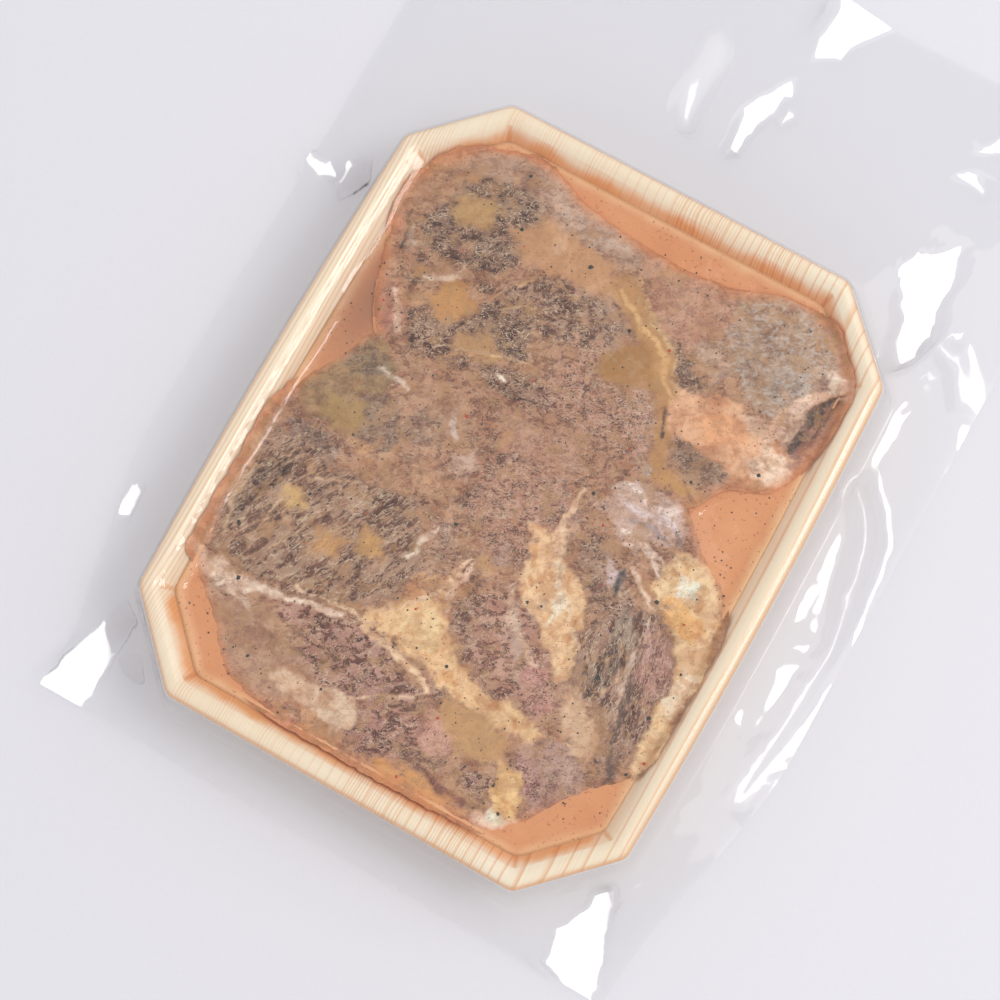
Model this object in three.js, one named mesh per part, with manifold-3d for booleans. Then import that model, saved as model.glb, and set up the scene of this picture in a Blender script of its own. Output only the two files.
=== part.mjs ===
// Vacuum pack of raw marinated pork shoulder: a clear pouch drawn tight round an octagonal
// foam tray that holds two overlapping slices of meat in their marinade.
// Millimetres, +Z up. The origin lies under the middle of the pouch, on the resting surface.
// +Y points to the pouch's long empty end and the tray's long side runs along Y.

import * as THREE from 'three';
import { mergeVertices } from 'three/addons/utils/BufferGeometryUtils.js';
import Module from 'manifold-3d';

const wasm = await Module();
wasm.setup();

// Driving dimensions of the pouch: two sheets, sealed all round and longer at one end.
const pouchWidth = 214;
const pouchLength = 300;
const pouchShortEndWidth = 186;
const narrowingStart = -0.4;
const filmThickness = 0.4;
const clearance = 0.35;

// Driving dimensions of the tray, measured over the rim, with its middle off the pouch's middle.
const trayWidth = 159;
const trayLength = 200;
const trayHeight = 27.8;
const trayCentreY = -35;
const trayChamfer = 23.5;
const trayCornerRadius = 5;
const traySideBow = 1.5;
const trayBase = filmThickness + clearance;
const trayFloorTop = trayBase + 3;
const trayTop = trayBase + trayHeight;

// Height of the marinade, and of the meat's surface before its muscles bulge.
const marinadeLevel = 20.4;
const upperSliceTop = 24.2;
const lowerSliceTop = 22.6;
const sliceEdgeRadius = 3.4;
const thinnestMeat = 1;
const meatFromRim = 9;
const gapBesideWall = 2.5 * clearance;

// Where the upper slice's edge lies on the lower slice: the line along Y, how far the lower one
// is pressed down there, from where it thins, and how far in it reaches under the upper one.
const overlapY = 17;
const overlapSlope = 0.9;
const overlapStep = 1.4;
const overlapStart = 7;
const overlapReach = 18;

// Points round each ring of the pack: three at each corner, the rest along the sides.
const longSidePoints = 8;
const shortSidePoints = 6;
const chamferPoints = 1;

// Tray section from the floor over the rim to the base, as [distance inside the outline, height].
const trayInnerWall = [
  [46, trayFloorTop],
  [23, trayFloorTop],
  [19.8, trayFloorTop + 0.9],
  [8.6, trayTop - 5.4],
];
const trayRim = [
  [6.7, trayTop - 2.4],
  [5.1, trayTop - 0.8],
  [3.2, trayTop],
  [1.3, trayTop - 0.5],
  [0.2, trayTop - 2],
  [0, trayTop - 3.6],
];
const trayOuterWall = [
  [1.6, trayTop - 5],
  [3.8, trayTop - 6.2],
  [14.8, trayBase + 1.6],
  [16.6, trayBase],
];

// Muscles that bulge on each slice: middle, half lengths, turn in degrees and height.
const upperMuscles = [
  { x: -45, y: 66, a: 24, b: 17, turn: 10, height: 1.5 },
  { x: -14, y: 47, a: 20, b: 22, turn: -20, height: 1.2 },
  { x: -46, y: 33, a: 19, b: 10, turn: 5, height: 1.3 },
  { x: 18, y: 36, a: 13, b: 17, turn: 25, height: 1 },
  { x: 48, y: 67, a: 21, b: 15, turn: -12, height: 1.7 },
  { x: 48, y: 40, a: 19, b: 9, turn: 12, height: 1.2 },
  { x: 12, y: 76, a: 30, b: 8, turn: -4, height: 0.5 },
];
const lowerMuscles = [
  { x: -46, y: -2, a: 24, b: 13, turn: 8, height: 1 },
  { x: -52, y: -38, a: 22, b: 19, turn: 55, height: 1.6 },
  { x: -22, y: -24, a: 13, b: 24, turn: 14, height: 1.1 },
  { x: 5, y: -4, a: 17, b: 15, turn: 0, height: 1.4 },
  { x: 23, y: -40, a: 24, b: 13, turn: -38, height: 1.5 },
  { x: 47, y: -27, a: 12, b: 18, turn: 8, height: 1.6 },
  { x: 66, y: -30, a: 7, b: 34, turn: 4, height: 1.7 },
  { x: -18, y: -63, a: 30, b: 8, turn: 6, height: 1.2 },
  { x: 2, y: -79, a: 15, b: 9, turn: 18, height: 1.3 },
  { x: 30, y: -76, a: 14, b: 9, turn: -12, height: 1.1 },
  { x: 46, y: -64, a: 10, b: 9, turn: 0, height: 1.1 },
  { x: -36, y: -80, a: 18, b: 7, turn: -22, height: 0.8 },
];

// Seams between muscles and folds in the meat, each a short line with its depth and width.
const upperGrooves = [
  { line: [[-70, 50], [-64, 49], [-52, 43], [-40, 49]], depth: 1.5, width: 3.5 },
  { line: [[0, 63], [15, 51], [26, 38], [32, 20]], depth: 0.9, width: 5 },
  { line: [[72, 72], [64, 58], [62, 48]], depth: 2.2, width: 3.5 },
];
const lowerGrooves = [
  { line: [[-75, -60], [-52, -61], [-28, -56], [-9, -45], [1, -31], [2, -18]], depth: 1.2, width: 4 },
  { line: [[38, -4], [46, -12], [56, -32], [63, -57]], depth: 2.2, width: 3.5 },
  { line: [[-58, -74], [-20, -73], [12, -68], [36, -60]], depth: 0.9, width: 4 },
  { line: [[28, 8], [40, 5], [48, -3]], depth: 2, width: 4 },
];

// Each slice seen from above, from control points measured from the tray's middle.
const upperOutline = [
  [-54, 88], [-38, 91], [-24, 86], [0, 82.5], [24, 83], [44, 87], [59, 86], [68, 76], [72, 62],
  [72, 47], [66, 35], [54, 29], [47, 19], [28, 15], [6, 18], [-20, 18.5], [-42, 19], [-57, 20],
  [-63, 28], [-68, 41], [-72, 54], [-72, 68], [-67, 78],
];
const lowerOutline = [
  [-64, 12], [-68, 2], [-72, -12], [-73, -28], [-73, -44], [-71, -58], [-62, -69], [-55, -78],
  [-46, -87], [-30, -91.5], [0, -92], [28, -91.5], [42, -90], [50, -83], [57, -73], [64, -62],
  [71, -54], [73, -38], [73, -20], [72, -5], [66, 4], [54, 9], [49, 20], [34, 30], [6, 33],
  [-26, 33], [-50, 29], [-61, 21],
];
const upperCentre = [0, 54];
const lowerCentre = [0, -32];
const sliceOutlinePoints = 64;
const edgeInsetsAbove = [sliceEdgeRadius, sliceEdgeRadius * 0.4, sliceEdgeRadius * 0.1, 0];
const edgeInsetsBelow = [0, 2, 5.5];
const cutterSink = 60;

// The film over the contents: how far it bridges, and its last rings before the tray's rim.
const filmReach = 7.5;
const filmReachAtWall = 4;
const filmReachAtRim = 2.5;
const filmGridShare = 0.93;
const filmInsetAtWall = 9.2;
const filmAboveWall = 3.4;

// The bottom sheet under the tray: its innermost ring, and how it curves up round the base.
const filmInsetUnderBase = 48;
const filmPastBase = 0.3;
const filmRiseShares = [0.13, 0.36, 0.67];
const filmRiseCurve = 1.4;

// The loose film round the tray: where it starts, how it droops, and its folds, with how many
// go round the pack, how high they stand and how much each leans on its way out.
const seamHeight = 9;
const seamOutside = 4.5;
const looseEdgeHeight = 3.2;
const settledHeight = 1.2;
const settledReach = 62;
const droopCurve = 0.8;
const looseRings = 5;
const foldLean = 3;
const looseFolds = [
  { count: 5, phase: 0.4, height: 0.8 },
  { count: 9, phase: 2.1, height: 0.6 },
  { count: 13, phase: 5.2, height: 0.4 },
];

const colours = {
  film: { color: 0xdfe3e8, roughness: 0.08, metalness: 0, transparent: true, opacity: 0.22 },
  foam: { color: 0xf3dcb6, roughness: 0.3, metalness: 0 },
  upperMeat: { color: 0xa07a62, roughness: 0.35, metalness: 0 },
  lowerMeat: { color: 0xa5806a, roughness: 0.35, metalness: 0 },
  marinade: { color: 0xd18a5c, roughness: 0.15, metalness: 0 },
};

// Evenly spaced numbers from 0 to 1, without the two ends.
function between(count) {
  return Array.from(Array(count).keys(), (index) => (index + 1) / (count + 1));
}

function mix(from, to, share) {
  return from + (to - from) * share;
}

function smoothStep(low, high, value) {
  const share = Math.min(Math.max((value - low) / (high - low), 0), 1);
  return share * share * (3 - 2 * share);
}

// Height along a profile of [distance, height] points that runs from far inside to the rim.
function heightOnProfile(profile, distance) {
  if (distance >= profile[0][0]) return profile[0][1];
  for (let i = 1; i < profile.length; i += 1) {
    const [innerDistance, innerHeight] = profile[i - 1];
    const [outerDistance, outerHeight] = profile[i];
    if (distance >= outerDistance) {
      const share = (innerDistance - distance) / (innerDistance - outerDistance);
      return mix(innerHeight, outerHeight, share);
    }
  }
  return profile[profile.length - 1][1];
}

// How far a point lies inside the tray's outline, seen from above.
function distanceInside(x, y) {
  const straightHalf = trayLength / 2 - trayChamfer;
  const along = Math.min(Math.abs(y) / straightHalf, 1);
  const side = trayWidth / 2 + traySideBow * (1 - along * along) - Math.abs(x);
  const end = trayLength / 2 - Math.abs(y);
  const reach = trayWidth / 2 + trayLength / 2 - trayChamfer;
  const corner = (reach - Math.abs(x) - Math.abs(y)) / Math.SQRT2;
  return Math.min(side, end, corner);
}

// The eight corners of the tray's outline moved inwards by a distance, anticlockwise.
function octagonCorners(inset) {
  const a = trayWidth / 2 - inset;
  const b = trayLength / 2 - inset;
  const c = Math.max(trayChamfer - inset * (2 - Math.SQRT2), 1);
  const corners = [[a, c - b], [a, b - c], [a - c, b], [c - a, b]];
  return corners.concat(corners.map(([x, y]) => [-x, -y]));
}

// One ring round the tray, inset from its outline, with rounded corners and bowed long sides.
function octagonRing(inset) {
  const corners = octagonCorners(inset).map(([x, y]) => new THREE.Vector2(x, y));
  const tangent = trayCornerRadius * Math.tan(Math.PI / 8);
  const cut = trayCornerRadius * (1 / Math.cos(Math.PI / 8) - 1);
  const sides = [longSidePoints, chamferPoints, shortSidePoints, chamferPoints];
  const ring = [];
  corners.forEach((corner, index) => {
    const before = corners[(index + 7) % 8];
    const after = corners[(index + 1) % 8];
    const inward = before.clone().sub(corner).normalize();
    const outward = after.clone().sub(corner).normalize();
    const bisector = inward.clone().add(outward).normalize();
    const leave = corner.clone().addScaledVector(outward, tangent);
    ring.push(corner.clone().addScaledVector(inward, tangent));
    ring.push(corner.clone().addScaledVector(bisector, cut));
    ring.push(leave);
    const arrive = after.clone().addScaledVector(outward, -tangent);
    const bow = index % 4 === 0 ? traySideBow * Math.sign(corner.x) : 0;
    for (const share of between(sides[index % 4])) {
      const point = leave.clone().lerp(arrive, share);
      point.x += bow * 4 * share * (1 - share);
      ring.push(point);
    }
  });
  return ring;
}

// The ring lifted to a height and moved to the tray's place in the pack.
function ringAt(inset, height) {
  return octagonRing(inset).map((point) => new THREE.Vector3(point.x, point.y + trayCentreY, height));
}

// A profile moved sideways by a distance, to the side that the rim faces when positive.
function offsetProfile(profile, distance) {
  return profile.map((point, index) => {
    const from = profile[Math.max(index - 1, 0)];
    const to = profile[Math.min(index + 1, profile.length - 1)];
    const along = new THREE.Vector2(to[0] - from[0], to[1] - from[1]).normalize();
    return [point[0] + along.y * distance, point[1] - along.x * distance];
  });
}

// Triangles of the skin through rings of equal length, from the middle of the upper side over
// the edge to the underside. From the ring flipFrom on, the quads are split the other way.
function skinTriangles(rings, flipFrom = Infinity) {
  const triangles = [];
  for (let ring = 0; ring < rings.length - 1; ring += 1) {
    const inner = rings[ring];
    const outer = rings[ring + 1];
    inner.forEach((point, index) => {
      const next = (index + 1) % inner.length;
      const flipped = ring >= flipFrom;
      triangles.push(point, outer[index], flipped ? outer[next] : inner[next]);
      triangles.push(inner[next], flipped ? point : outer[index], outer[next]);
    });
  }
  return triangles;
}

// A flat end inside a ring: triangles to one middle point.
function fanTriangles(ring, middle, faceUp) {
  return ring.flatMap((point, index) => {
    const next = ring[(index + 1) % ring.length];
    return faceUp ? [middle, point, next] : [middle, next, point];
  });
}

// Where a cell corner of a square grid lies on the grid's own ring round its middle, from 0 to 1.
function placeOnSquare(column, row, ring) {
  if (column === ring && row < ring) return (row + ring) / (8 * ring);
  if (row === ring && column > -ring) return (3 * ring - column) / (8 * ring);
  if (column === -ring && row > -ring) return (5 * ring - row) / (8 * ring);
  return (7 * ring + column) / (8 * ring);
}

// A curved end inside a ring: a square grid drawn out to the ring, with its own heights.
function gridTriangles(ring, middle, heightAt, faceUp) {
  const half = ring.length / 8;

  function gridPoint(column, row) {
    const level = Math.max(Math.abs(column), Math.abs(row));
    if (level === 0) return middle.clone().setZ(heightAt(middle.x, middle.y));
    const place = placeOnSquare(column, row, level) * ring.length;
    const whole = Math.floor(place + 1e-6);
    const before = ring[whole % ring.length];
    if (level === half) return before;
    const onRing = before.clone().lerp(ring[(whole + 1) % ring.length], place - whole);
    const point = middle.clone().lerp(onRing, level / half);
    return point.setZ(heightAt(point.x, point.y));
  }

  const triangles = [];
  for (let column = -half; column < half; column += 1) {
    for (let row = -half; row < half; row += 1) {
      const near = gridPoint(column, row);
      const right = gridPoint(column + 1, row);
      const far = gridPoint(column + 1, row + 1);
      const left = gridPoint(column, row + 1);
      triangles.push(...(faceUp ? [near, right, far] : [near, far, right]));
      triangles.push(...(faceUp ? [near, far, left] : [near, left, far]));
    }
  }
  return triangles;
}

function closedMesh(triangles) {
  return mergeVertices(new THREE.BufferGeometry().setFromPoints(triangles), 1e-4);
}

function namedMesh(name, geometry, look) {
  geometry.computeVertexNormals();
  const mesh = new THREE.Mesh(geometry, new THREE.MeshStandardMaterial(look));
  mesh.name = name;
  return mesh;
}

// The foam tray: floor, sloping wall, rolled rim and the wall's outside down to the base.
function makeTray() {
  const section = [...trayInnerWall, ...trayRim, ...trayOuterWall];
  const rings = section.map(([inset, height]) => ringAt(inset, height));
  const floor = fanTriangles(rings[0], new THREE.Vector3(0, trayCentreY, trayFloorTop), true);
  const base = fanTriangles(rings.at(-1), new THREE.Vector3(0, trayCentreY, trayBase), false);
  return closedMesh([...floor, ...skinTriangles(rings), ...base]);
}

// Height of the tray's upper surface at a point measured from the tray's middle.
function trayHeightAt(x, y, sideGap = 0) {
  return heightOnProfile([...trayInnerWall, ...trayRim.slice(0, 3)], distanceInside(x, y) - sideGap);
}

function bulgeAt(muscles, x, y) {
  let height = 0;
  for (const muscle of muscles) {
    const turn = THREE.MathUtils.degToRad(muscle.turn);
    const dx = x - muscle.x;
    const dy = y - muscle.y;
    const along = (dx * Math.cos(turn) + dy * Math.sin(turn)) / muscle.a;
    const across = (dy * Math.cos(turn) - dx * Math.sin(turn)) / muscle.b;
    const reach = Math.min(along * along + across * across, 1);
    height = Math.max(height, muscle.height * Math.sqrt(1 - reach));
  }
  return height;
}

function distanceToLine(line, x, y) {
  let nearest = Infinity;
  const point = new THREE.Vector3(x, y, 0);
  for (let i = 1; i < line.length; i += 1) {
    const start = new THREE.Vector3(line[i - 1][0], line[i - 1][1], 0);
    const end = new THREE.Vector3(line[i][0], line[i][1], 0);
    const onLine = new THREE.Line3(start, end).closestPointToPoint(point, true, new THREE.Vector3());
    nearest = Math.min(nearest, onLine.distanceTo(point));
  }
  return nearest;
}

function grooveAt(grooves, x, y) {
  let depth = 0;
  for (const groove of grooves) {
    const share = 1 - smoothStep(0, groove.width, distanceToLine(groove.line, x, y));
    depth = Math.max(depth, groove.depth * share);
  }
  return depth;
}

function upperTopAt(x, y) {
  return upperSliceTop + bulgeAt(upperMuscles, x, y) - grooveAt(upperGrooves, x, y);
}

// The lower slice thins out where the upper one lies on it.
function lowerTopAt(x, y) {
  const open = lowerSliceTop + bulgeAt(lowerMuscles, x, y) - grooveAt(lowerGrooves, x, y);
  const covered = lowerSliceTop - overlapStep - overlapSlope * (y - overlapY);
  const share = smoothStep(overlapY - overlapStart, overlapY + 1, y);
  return mix(open, Math.min(open, covered), share);
}

function lowerUndersideAt(x, y) {
  return trayHeightAt(x, y, gapBesideWall) + clearance;
}

// The upper slice lies on the tray and, along one edge, on the lower slice.
function upperUndersideAt(x, y) {
  const onTray = lowerUndersideAt(x, y);
  const onLower = Math.max(lowerTopAt(x, y), onTray + thinnestMeat) + 2 * clearance;
  return y < overlapY + overlapReach ? Math.max(onTray, onLower) : onTray;
}

// A smooth closed outline through the points, kept off the upper part of the tray's wall. What
// is too near moves towards the middle, a little further since that isn't square to the wall.
function smoothOutline(points, count) {
  const controls = points.map(([x, y]) => new THREE.Vector3(x, y, 0));
  const curve = new THREE.CatmullRomCurve3(controls, true, 'centripetal');
  return curve.getSpacedPoints(count).slice(0, count).map((point) => {
    const tooNear = Math.max(meatFromRim - distanceInside(point.x, point.y), 0);
    return point.setLength(point.length() - 1.2 * tooNear);
  });
}

// A slice of meat as a closed mesh. As a cutter it is grown all round and sunk into the tray.
function makeSlice(outline, centre, topAt, undersideAt, growth) {
  const sunk = growth * cutterSink;
  const middle = new THREE.Vector3(centre[0], centre[1], 0);
  const edge = smoothOutline(outline, sliceOutlinePoints);
  if (THREE.ShapeUtils.isClockWise(edge)) edge.reverse();

  function topHeight(x, y, inset) {
    const missing = Math.max(sliceEdgeRadius - inset, 0);
    const drop = sliceEdgeRadius - Math.sqrt(sliceEdgeRadius ** 2 - missing ** 2);
    return Math.max(topAt(x, y) - drop, undersideAt(x, y) + thinnestMeat) + growth;
  }

  function skinRing(inset, upper) {
    return edge.map((point) => {
      const inward = middle.clone().sub(point).setLength(inset - growth);
      const { x, y } = point.clone().add(inward);
      const height = upper ? topHeight(x, y, inset) : undersideAt(x, y) - sunk;
      return new THREE.Vector3(x, y + trayCentreY, height);
    });
  }

  const rings = [
    ...edgeInsetsAbove.map((inset) => skinRing(inset, true)),
    ...edgeInsetsBelow.map((inset) => skinRing(inset, false)),
  ];
  const centreOfGrid = middle.clone().setY(middle.y + trayCentreY);
  const topOfGrid = (x, y) => topHeight(x, y - trayCentreY, sliceEdgeRadius);
  const undersideOfGrid = (x, y) => undersideAt(x, y - trayCentreY) - sunk;
  return closedMesh([
    ...gridTriangles(rings[0], centreOfGrid, topOfGrid, true),
    ...skinTriangles(rings),
    ...gridTriangles(rings.at(-1), centreOfGrid, undersideOfGrid, false),
  ]);
}

function makeUpperSlice(growth) {
  return makeSlice(upperOutline, upperCentre, upperTopAt, upperUndersideAt, growth);
}

function makeLowerSlice(growth) {
  return makeSlice(lowerOutline, lowerCentre, lowerTopAt, lowerUndersideAt, growth);
}

function toSolid(geometry) {
  return new wasm.Manifold(new wasm.Mesh({
    numProp: 3,
    vertProperties: new Float32Array(geometry.getAttribute('position').array),
    triVerts: new Uint32Array(geometry.getIndex().array),
  }));
}

function toGeometry(solid) {
  const mesh = solid.getMesh();
  const geometry = new THREE.BufferGeometry();
  geometry.setAttribute('position', new THREE.Float32BufferAttribute(mesh.vertProperties, 3));
  geometry.setIndex(Array.from(mesh.triVerts));
  return geometry;
}

// The marinade would fill the tray to its level. The meat cuts it into separate pools.
function makeMarinadePools() {
  const wall = offsetProfile(trayInnerWall, clearance);
  const level = wall.filter(([, height]) => height < marinadeLevel);
  const last = wall[level.length];
  const before = level[level.length - 1];
  const share = (marinadeLevel - before[1]) / (last[1] - before[1]);
  const shore = [mix(before[0], last[0], share), marinadeLevel];
  const rings = [...level, shore].map(([inset, height]) => ringAt(inset, height)).reverse();
  const surface = fanTriangles(rings[0], new THREE.Vector3(0, trayCentreY, marinadeLevel), true);
  const floor = fanTriangles(rings.at(-1), new THREE.Vector3(0, trayCentreY, level[0][1]), false);
  const filling = toSolid(closedMesh([...surface, ...skinTriangles(rings), ...floor]));
  const cut = filling.subtract(toSolid(makeUpperSlice(clearance)));
  return cut.subtract(toSolid(makeLowerSlice(clearance)));
}

// Where each pool that shows lies, measured from the tray's middle.
const poolPlaces = {
  marinade_pool_top: [20, 87],
  marinade_pool_left: [-68, 22],
  marinade_pool_right: [66, 20],
  marinade_pool_bottom_left: [-62, -78],
  marinade_pool_bottom_right: [62, -76],
};

function nearestPool(pools, [x, y]) {
  const middleOf = (pool) => {
    const { min, max } = pool.boundingBox();
    return [(min[0] + max[0]) / 2, (min[1] + max[1]) / 2 - trayCentreY];
  };
  const away = (pool) => Math.hypot(middleOf(pool)[0] - x, middleOf(pool)[1] - y);
  return pools.reduce((best, pool) => (away(pool) < away(best) ? pool : best));
}

// Whether a point lies inside an outline given as a list of points.
function isInside(outline, x, y) {
  let inside = false;
  outline.forEach((point, index) => {
    const other = outline[(index + outline.length - 1) % outline.length];
    const crosses = (point.y > y) !== (other.y > y);
    const crossingX = mix(point.x, other.x, (y - point.y) / (other.y - point.y));
    if (crosses && x < crossingX) inside = !inside;
  });
  return inside;
}

const upperEdge = smoothOutline(upperOutline, sliceOutlinePoints);
const lowerEdge = smoothOutline(lowerOutline, sliceOutlinePoints);

// The highest thing in the tray at a point that the film can lie on: meat or marinade.
function contentsTopAt(x, y) {
  const thinnestTop = lowerUndersideAt(x, y) + thinnestMeat;
  let height = marinadeLevel;
  if (isInside(lowerEdge, x, y)) height = Math.max(height, lowerTopAt(x, y), thinnestTop);
  if (isInside(upperEdge, x, y)) height = Math.max(height, upperTopAt(x, y), thinnestTop);
  return height;
}

// The taut film bridges what is lower than its surroundings, so it takes the highest nearby.
function filmHeightAt(x, y, reach) {
  let height = contentsTopAt(x, y);
  for (const radius of [reach / 2, reach]) {
    for (let step = 0; step < 8; step += 1) {
      const angle = step * Math.PI / 4;
      const nearby = contentsTopAt(x + radius * Math.cos(angle), y + radius * Math.sin(angle));
      height = Math.max(height, nearby);
    }
  }
  return height + clearance + filmThickness / 2;
}

// A ring of film round the tray's wall or rim, lifted where meat lies on that wall. Its points
// are wide apart, so it is lifted by twice the usual gap.
function filmRing(inset, height, reach) {
  return ringAt(inset, height).map((point) => {
    const overMeat = filmHeightAt(point.x, point.y - trayCentreY, reach) + clearance;
    return inset > 0 ? point.setZ(Math.max(height, overMeat)) : point;
  });
}

// The middle of the film over the contents, outwards from near the meat's edge to the wall.
function filmOverContents() {
  const border = octagonRing(filmInsetAtWall);
  const nearEdge = border.map((point) => {
    const x = point.x * filmGridShare;
    const y = point.y * filmGridShare;
    return new THREE.Vector3(x, y + trayCentreY, filmHeightAt(x, y, filmReach));
  });
  const wallHeight = heightOnProfile([...trayInnerWall, ...trayRim], filmInsetAtWall);
  return [nearEdge, filmRing(filmInsetAtWall, wallHeight + filmAboveWall, filmReachAtWall)];
}

// Rings of a sheet moved by a distance across the sheet, upwards or outwards when positive.
function movedAcross(rings, distance) {
  const count = rings[0].length;
  return rings.map((ring, ringIndex) => ring.map((point, index) => {
    const inner = rings[Math.max(ringIndex - 1, 0)][index];
    const outer = rings[Math.min(ringIndex + 1, rings.length - 1)][index];
    const outwards = outer.clone().sub(inner);
    const round = ring[(index + 1) % count].clone().sub(ring[(index + count - 1) % count]);
    return point.clone().addScaledVector(outwards.cross(round).normalize(), distance);
  }));
}

// The pouch's outline, a point for each point of the tray's ring, in the pack's own frame. The
// middle of each of the tray's corners is drawn out to a corner of the pouch, and the pouch
// narrows towards its short end.
function pouchEdge() {
  const cornerX = trayWidth / 2 - trayChamfer / 2;
  const cornerY = trayLength / 2 - trayChamfer / 2;
  const halfLength = pouchLength / 2;
  const halfWidthAt = (y) => (
    mix(pouchShortEndWidth / 2, pouchWidth / 2, smoothStep(-1, narrowingStart, y)));
  return octagonRing(0).map(({ x, y }) => {
    if (Math.abs(x) - cornerX > Math.abs(y) - cornerY) {
      return new THREE.Vector2(Math.sign(x) * halfWidthAt(y / cornerY), y / cornerY * halfLength);
    }
    const end = Math.sign(y);
    return new THREE.Vector2(x / cornerX * halfWidthAt(end), end * halfLength);
  });
}

// Height of the folds at a place round the pack and a share of the way out to the pouch's edge.
function foldHeight(round, share) {
  const slack = Math.sin(Math.PI * share);
  const folds = looseFolds.map(({ count, phase, height }) => (
    height * Math.sin(count * 2 * Math.PI * round + phase + foldLean * share)));
  return slack * folds.reduce((sum, fold) => sum + fold, 0);
}

// The middle of the loose film between the two sheets, from the seam at the tray outwards.
function looseFilmRings() {
  const start = ringAt(-seamOutside, seamHeight);
  const end = pouchEdge();
  const lowest = clearance / 2 + filmThickness;
  const shares = [0, ...between(looseRings - 1), 1];
  return shares.map((share) => start.map((from, index) => {
    const x = mix(from.x, end[index].x, share);
    const y = mix(from.y, end[index].y, share);
    const reach = Math.hypot(x - from.x, y - from.y);
    const settled = smoothStep(0, settledReach, reach);
    const edgeHeight = mix(looseEdgeHeight, settledHeight, settled);
    const drooping = mix(seamHeight, edgeHeight, share ** droopCurve);
    const height = drooping + foldHeight(index / start.length, share);
    return new THREE.Vector3(x, y, Math.max(height, lowest));
  }));
}

// The top sheet, from over the contents and the rim down to the seam and out to the edge.
function topSheetMiddle() {
  const overRim = offsetProfile(trayRim, clearance + filmThickness / 2);
  const rimRings = overRim.map(([inset, height]) => filmRing(inset, height, filmReachAtRim));
  const rimFoot = overRim.at(-1)[1];
  const hanging = ringAt(-seamOutside / 2, (rimFoot + seamHeight) / 2);
  const loose = movedAcross(looseFilmRings(), (clearance + filmThickness) / 2);
  return [...filmOverContents(), ...rimRings, hanging, ...loose];
}

// The bottom sheet, flat under the base, up along the outer wall and out to the edge.
function bottomSheetMiddle() {
  const baseInset = trayOuterWall.at(-1)[0];
  const middleHeight = filmThickness / 2;
  const under = [filmInsetUnderBase, baseInset + filmPastBase].map((inset) => ringAt(inset, middleHeight));
  const rise = filmRiseShares.map((share) => {
    const height = seamHeight * Math.sin(share * Math.PI / 2) ** filmRiseCurve;
    return ringAt(mix(baseInset, -seamOutside, share), height);
  });
  const loose = movedAcross(looseFilmRings(), -(clearance + filmThickness) / 2);
  return [...under, ...rise, ...loose];
}

// A sheet of film as a closed mesh: its middle surface moved half its thickness both ways.
// Its inside is closed by endTriangles, which takes a ring, a step across and the way it faces.
function makeSheet(middleRings, endTriangles) {
  const half = filmThickness / 2;
  const above = movedAcross(middleRings, half);
  const below = movedAcross(middleRings, -half).reverse();
  return closedMesh([
    ...endTriangles(above[0], half, true),
    ...skinTriangles([...above, ...below], middleRings.length),
    ...endTriangles(below.at(-1), -half, false),
  ]);
}

// The top sheet follows the meat, so its inside is a grid with a height at each point.
function makeTopFilm() {
  const centre = new THREE.Vector3(0, trayCentreY, 0);
  return makeSheet(topSheetMiddle(), (ring, step, faceUp) => {
    const heightAt = (x, y) => filmHeightAt(x, y - trayCentreY, filmReach) + step;
    return gridTriangles(ring, centre, heightAt, faceUp);
  });
}

function makeBottomFilm() {
  return makeSheet(bottomSheetMiddle(), (ring, step, faceUp) => {
    const centre = new THREE.Vector3(0, trayCentreY, filmThickness / 2 + step);
    return fanTriangles(ring, centre, faceUp);
  });
}

const pack = new THREE.Group();
pack.name = 'pork_shoulder_vacuum_pack';
pack.add(namedMesh('tray', makeTray(), colours.foam));
pack.add(namedMesh('pork_slice_upper', makeUpperSlice(0), colours.upperMeat));
pack.add(namedMesh('pork_slice_lower', makeLowerSlice(0), colours.lowerMeat));
pack.add(namedMesh('pouch_top_film', makeTopFilm(), colours.film));
pack.add(namedMesh('pouch_bottom_film', makeBottomFilm(), colours.film));

const pools = makeMarinadePools().decompose();
for (const [name, place] of Object.entries(poolPlaces)) {
  pack.add(namedMesh(name, toGeometry(nearestPool(pools, place)), colours.marinade));
}

export default pack;
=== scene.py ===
import bpy
import math
import numpy as np
from mathutils import Matrix


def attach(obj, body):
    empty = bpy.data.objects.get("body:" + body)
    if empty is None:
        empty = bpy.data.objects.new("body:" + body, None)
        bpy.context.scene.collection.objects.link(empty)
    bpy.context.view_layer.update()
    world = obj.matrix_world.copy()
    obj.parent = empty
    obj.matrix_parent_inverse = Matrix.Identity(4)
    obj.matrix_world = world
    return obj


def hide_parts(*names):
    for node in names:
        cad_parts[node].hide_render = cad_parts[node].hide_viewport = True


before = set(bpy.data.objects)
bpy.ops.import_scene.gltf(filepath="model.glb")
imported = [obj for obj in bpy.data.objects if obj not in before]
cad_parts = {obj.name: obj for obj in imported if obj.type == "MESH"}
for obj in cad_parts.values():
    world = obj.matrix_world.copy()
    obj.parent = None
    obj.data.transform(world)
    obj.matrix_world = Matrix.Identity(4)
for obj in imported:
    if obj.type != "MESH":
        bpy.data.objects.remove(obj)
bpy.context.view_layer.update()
print("frame loaded:", len(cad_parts), "solids")

mm = 0.001
trayMiddleY = -35  # mm, the tray's middle in the pack, whose own middle is the origin
eye = np.array([84.1, -138.7, 688.3])  # mm, where the camera stands
lampWay = np.array([0.50, 0.20, 0.84]) / math.hypot(0.50, 0.20, 0.84)
lampPlace = lampWay * 1300 + (0, -30, 20)  # mm


# Helpers for colours, materials, lines and meshes.
def hexToLinear(code):
    channels = [int(code[i:i + 2], 16) / 255 for i in (1, 3, 5)]
    return [c / 12.92 if c <= 0.04045 else ((c + 0.055) / 1.055) ** 2.4 for c in channels]


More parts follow.
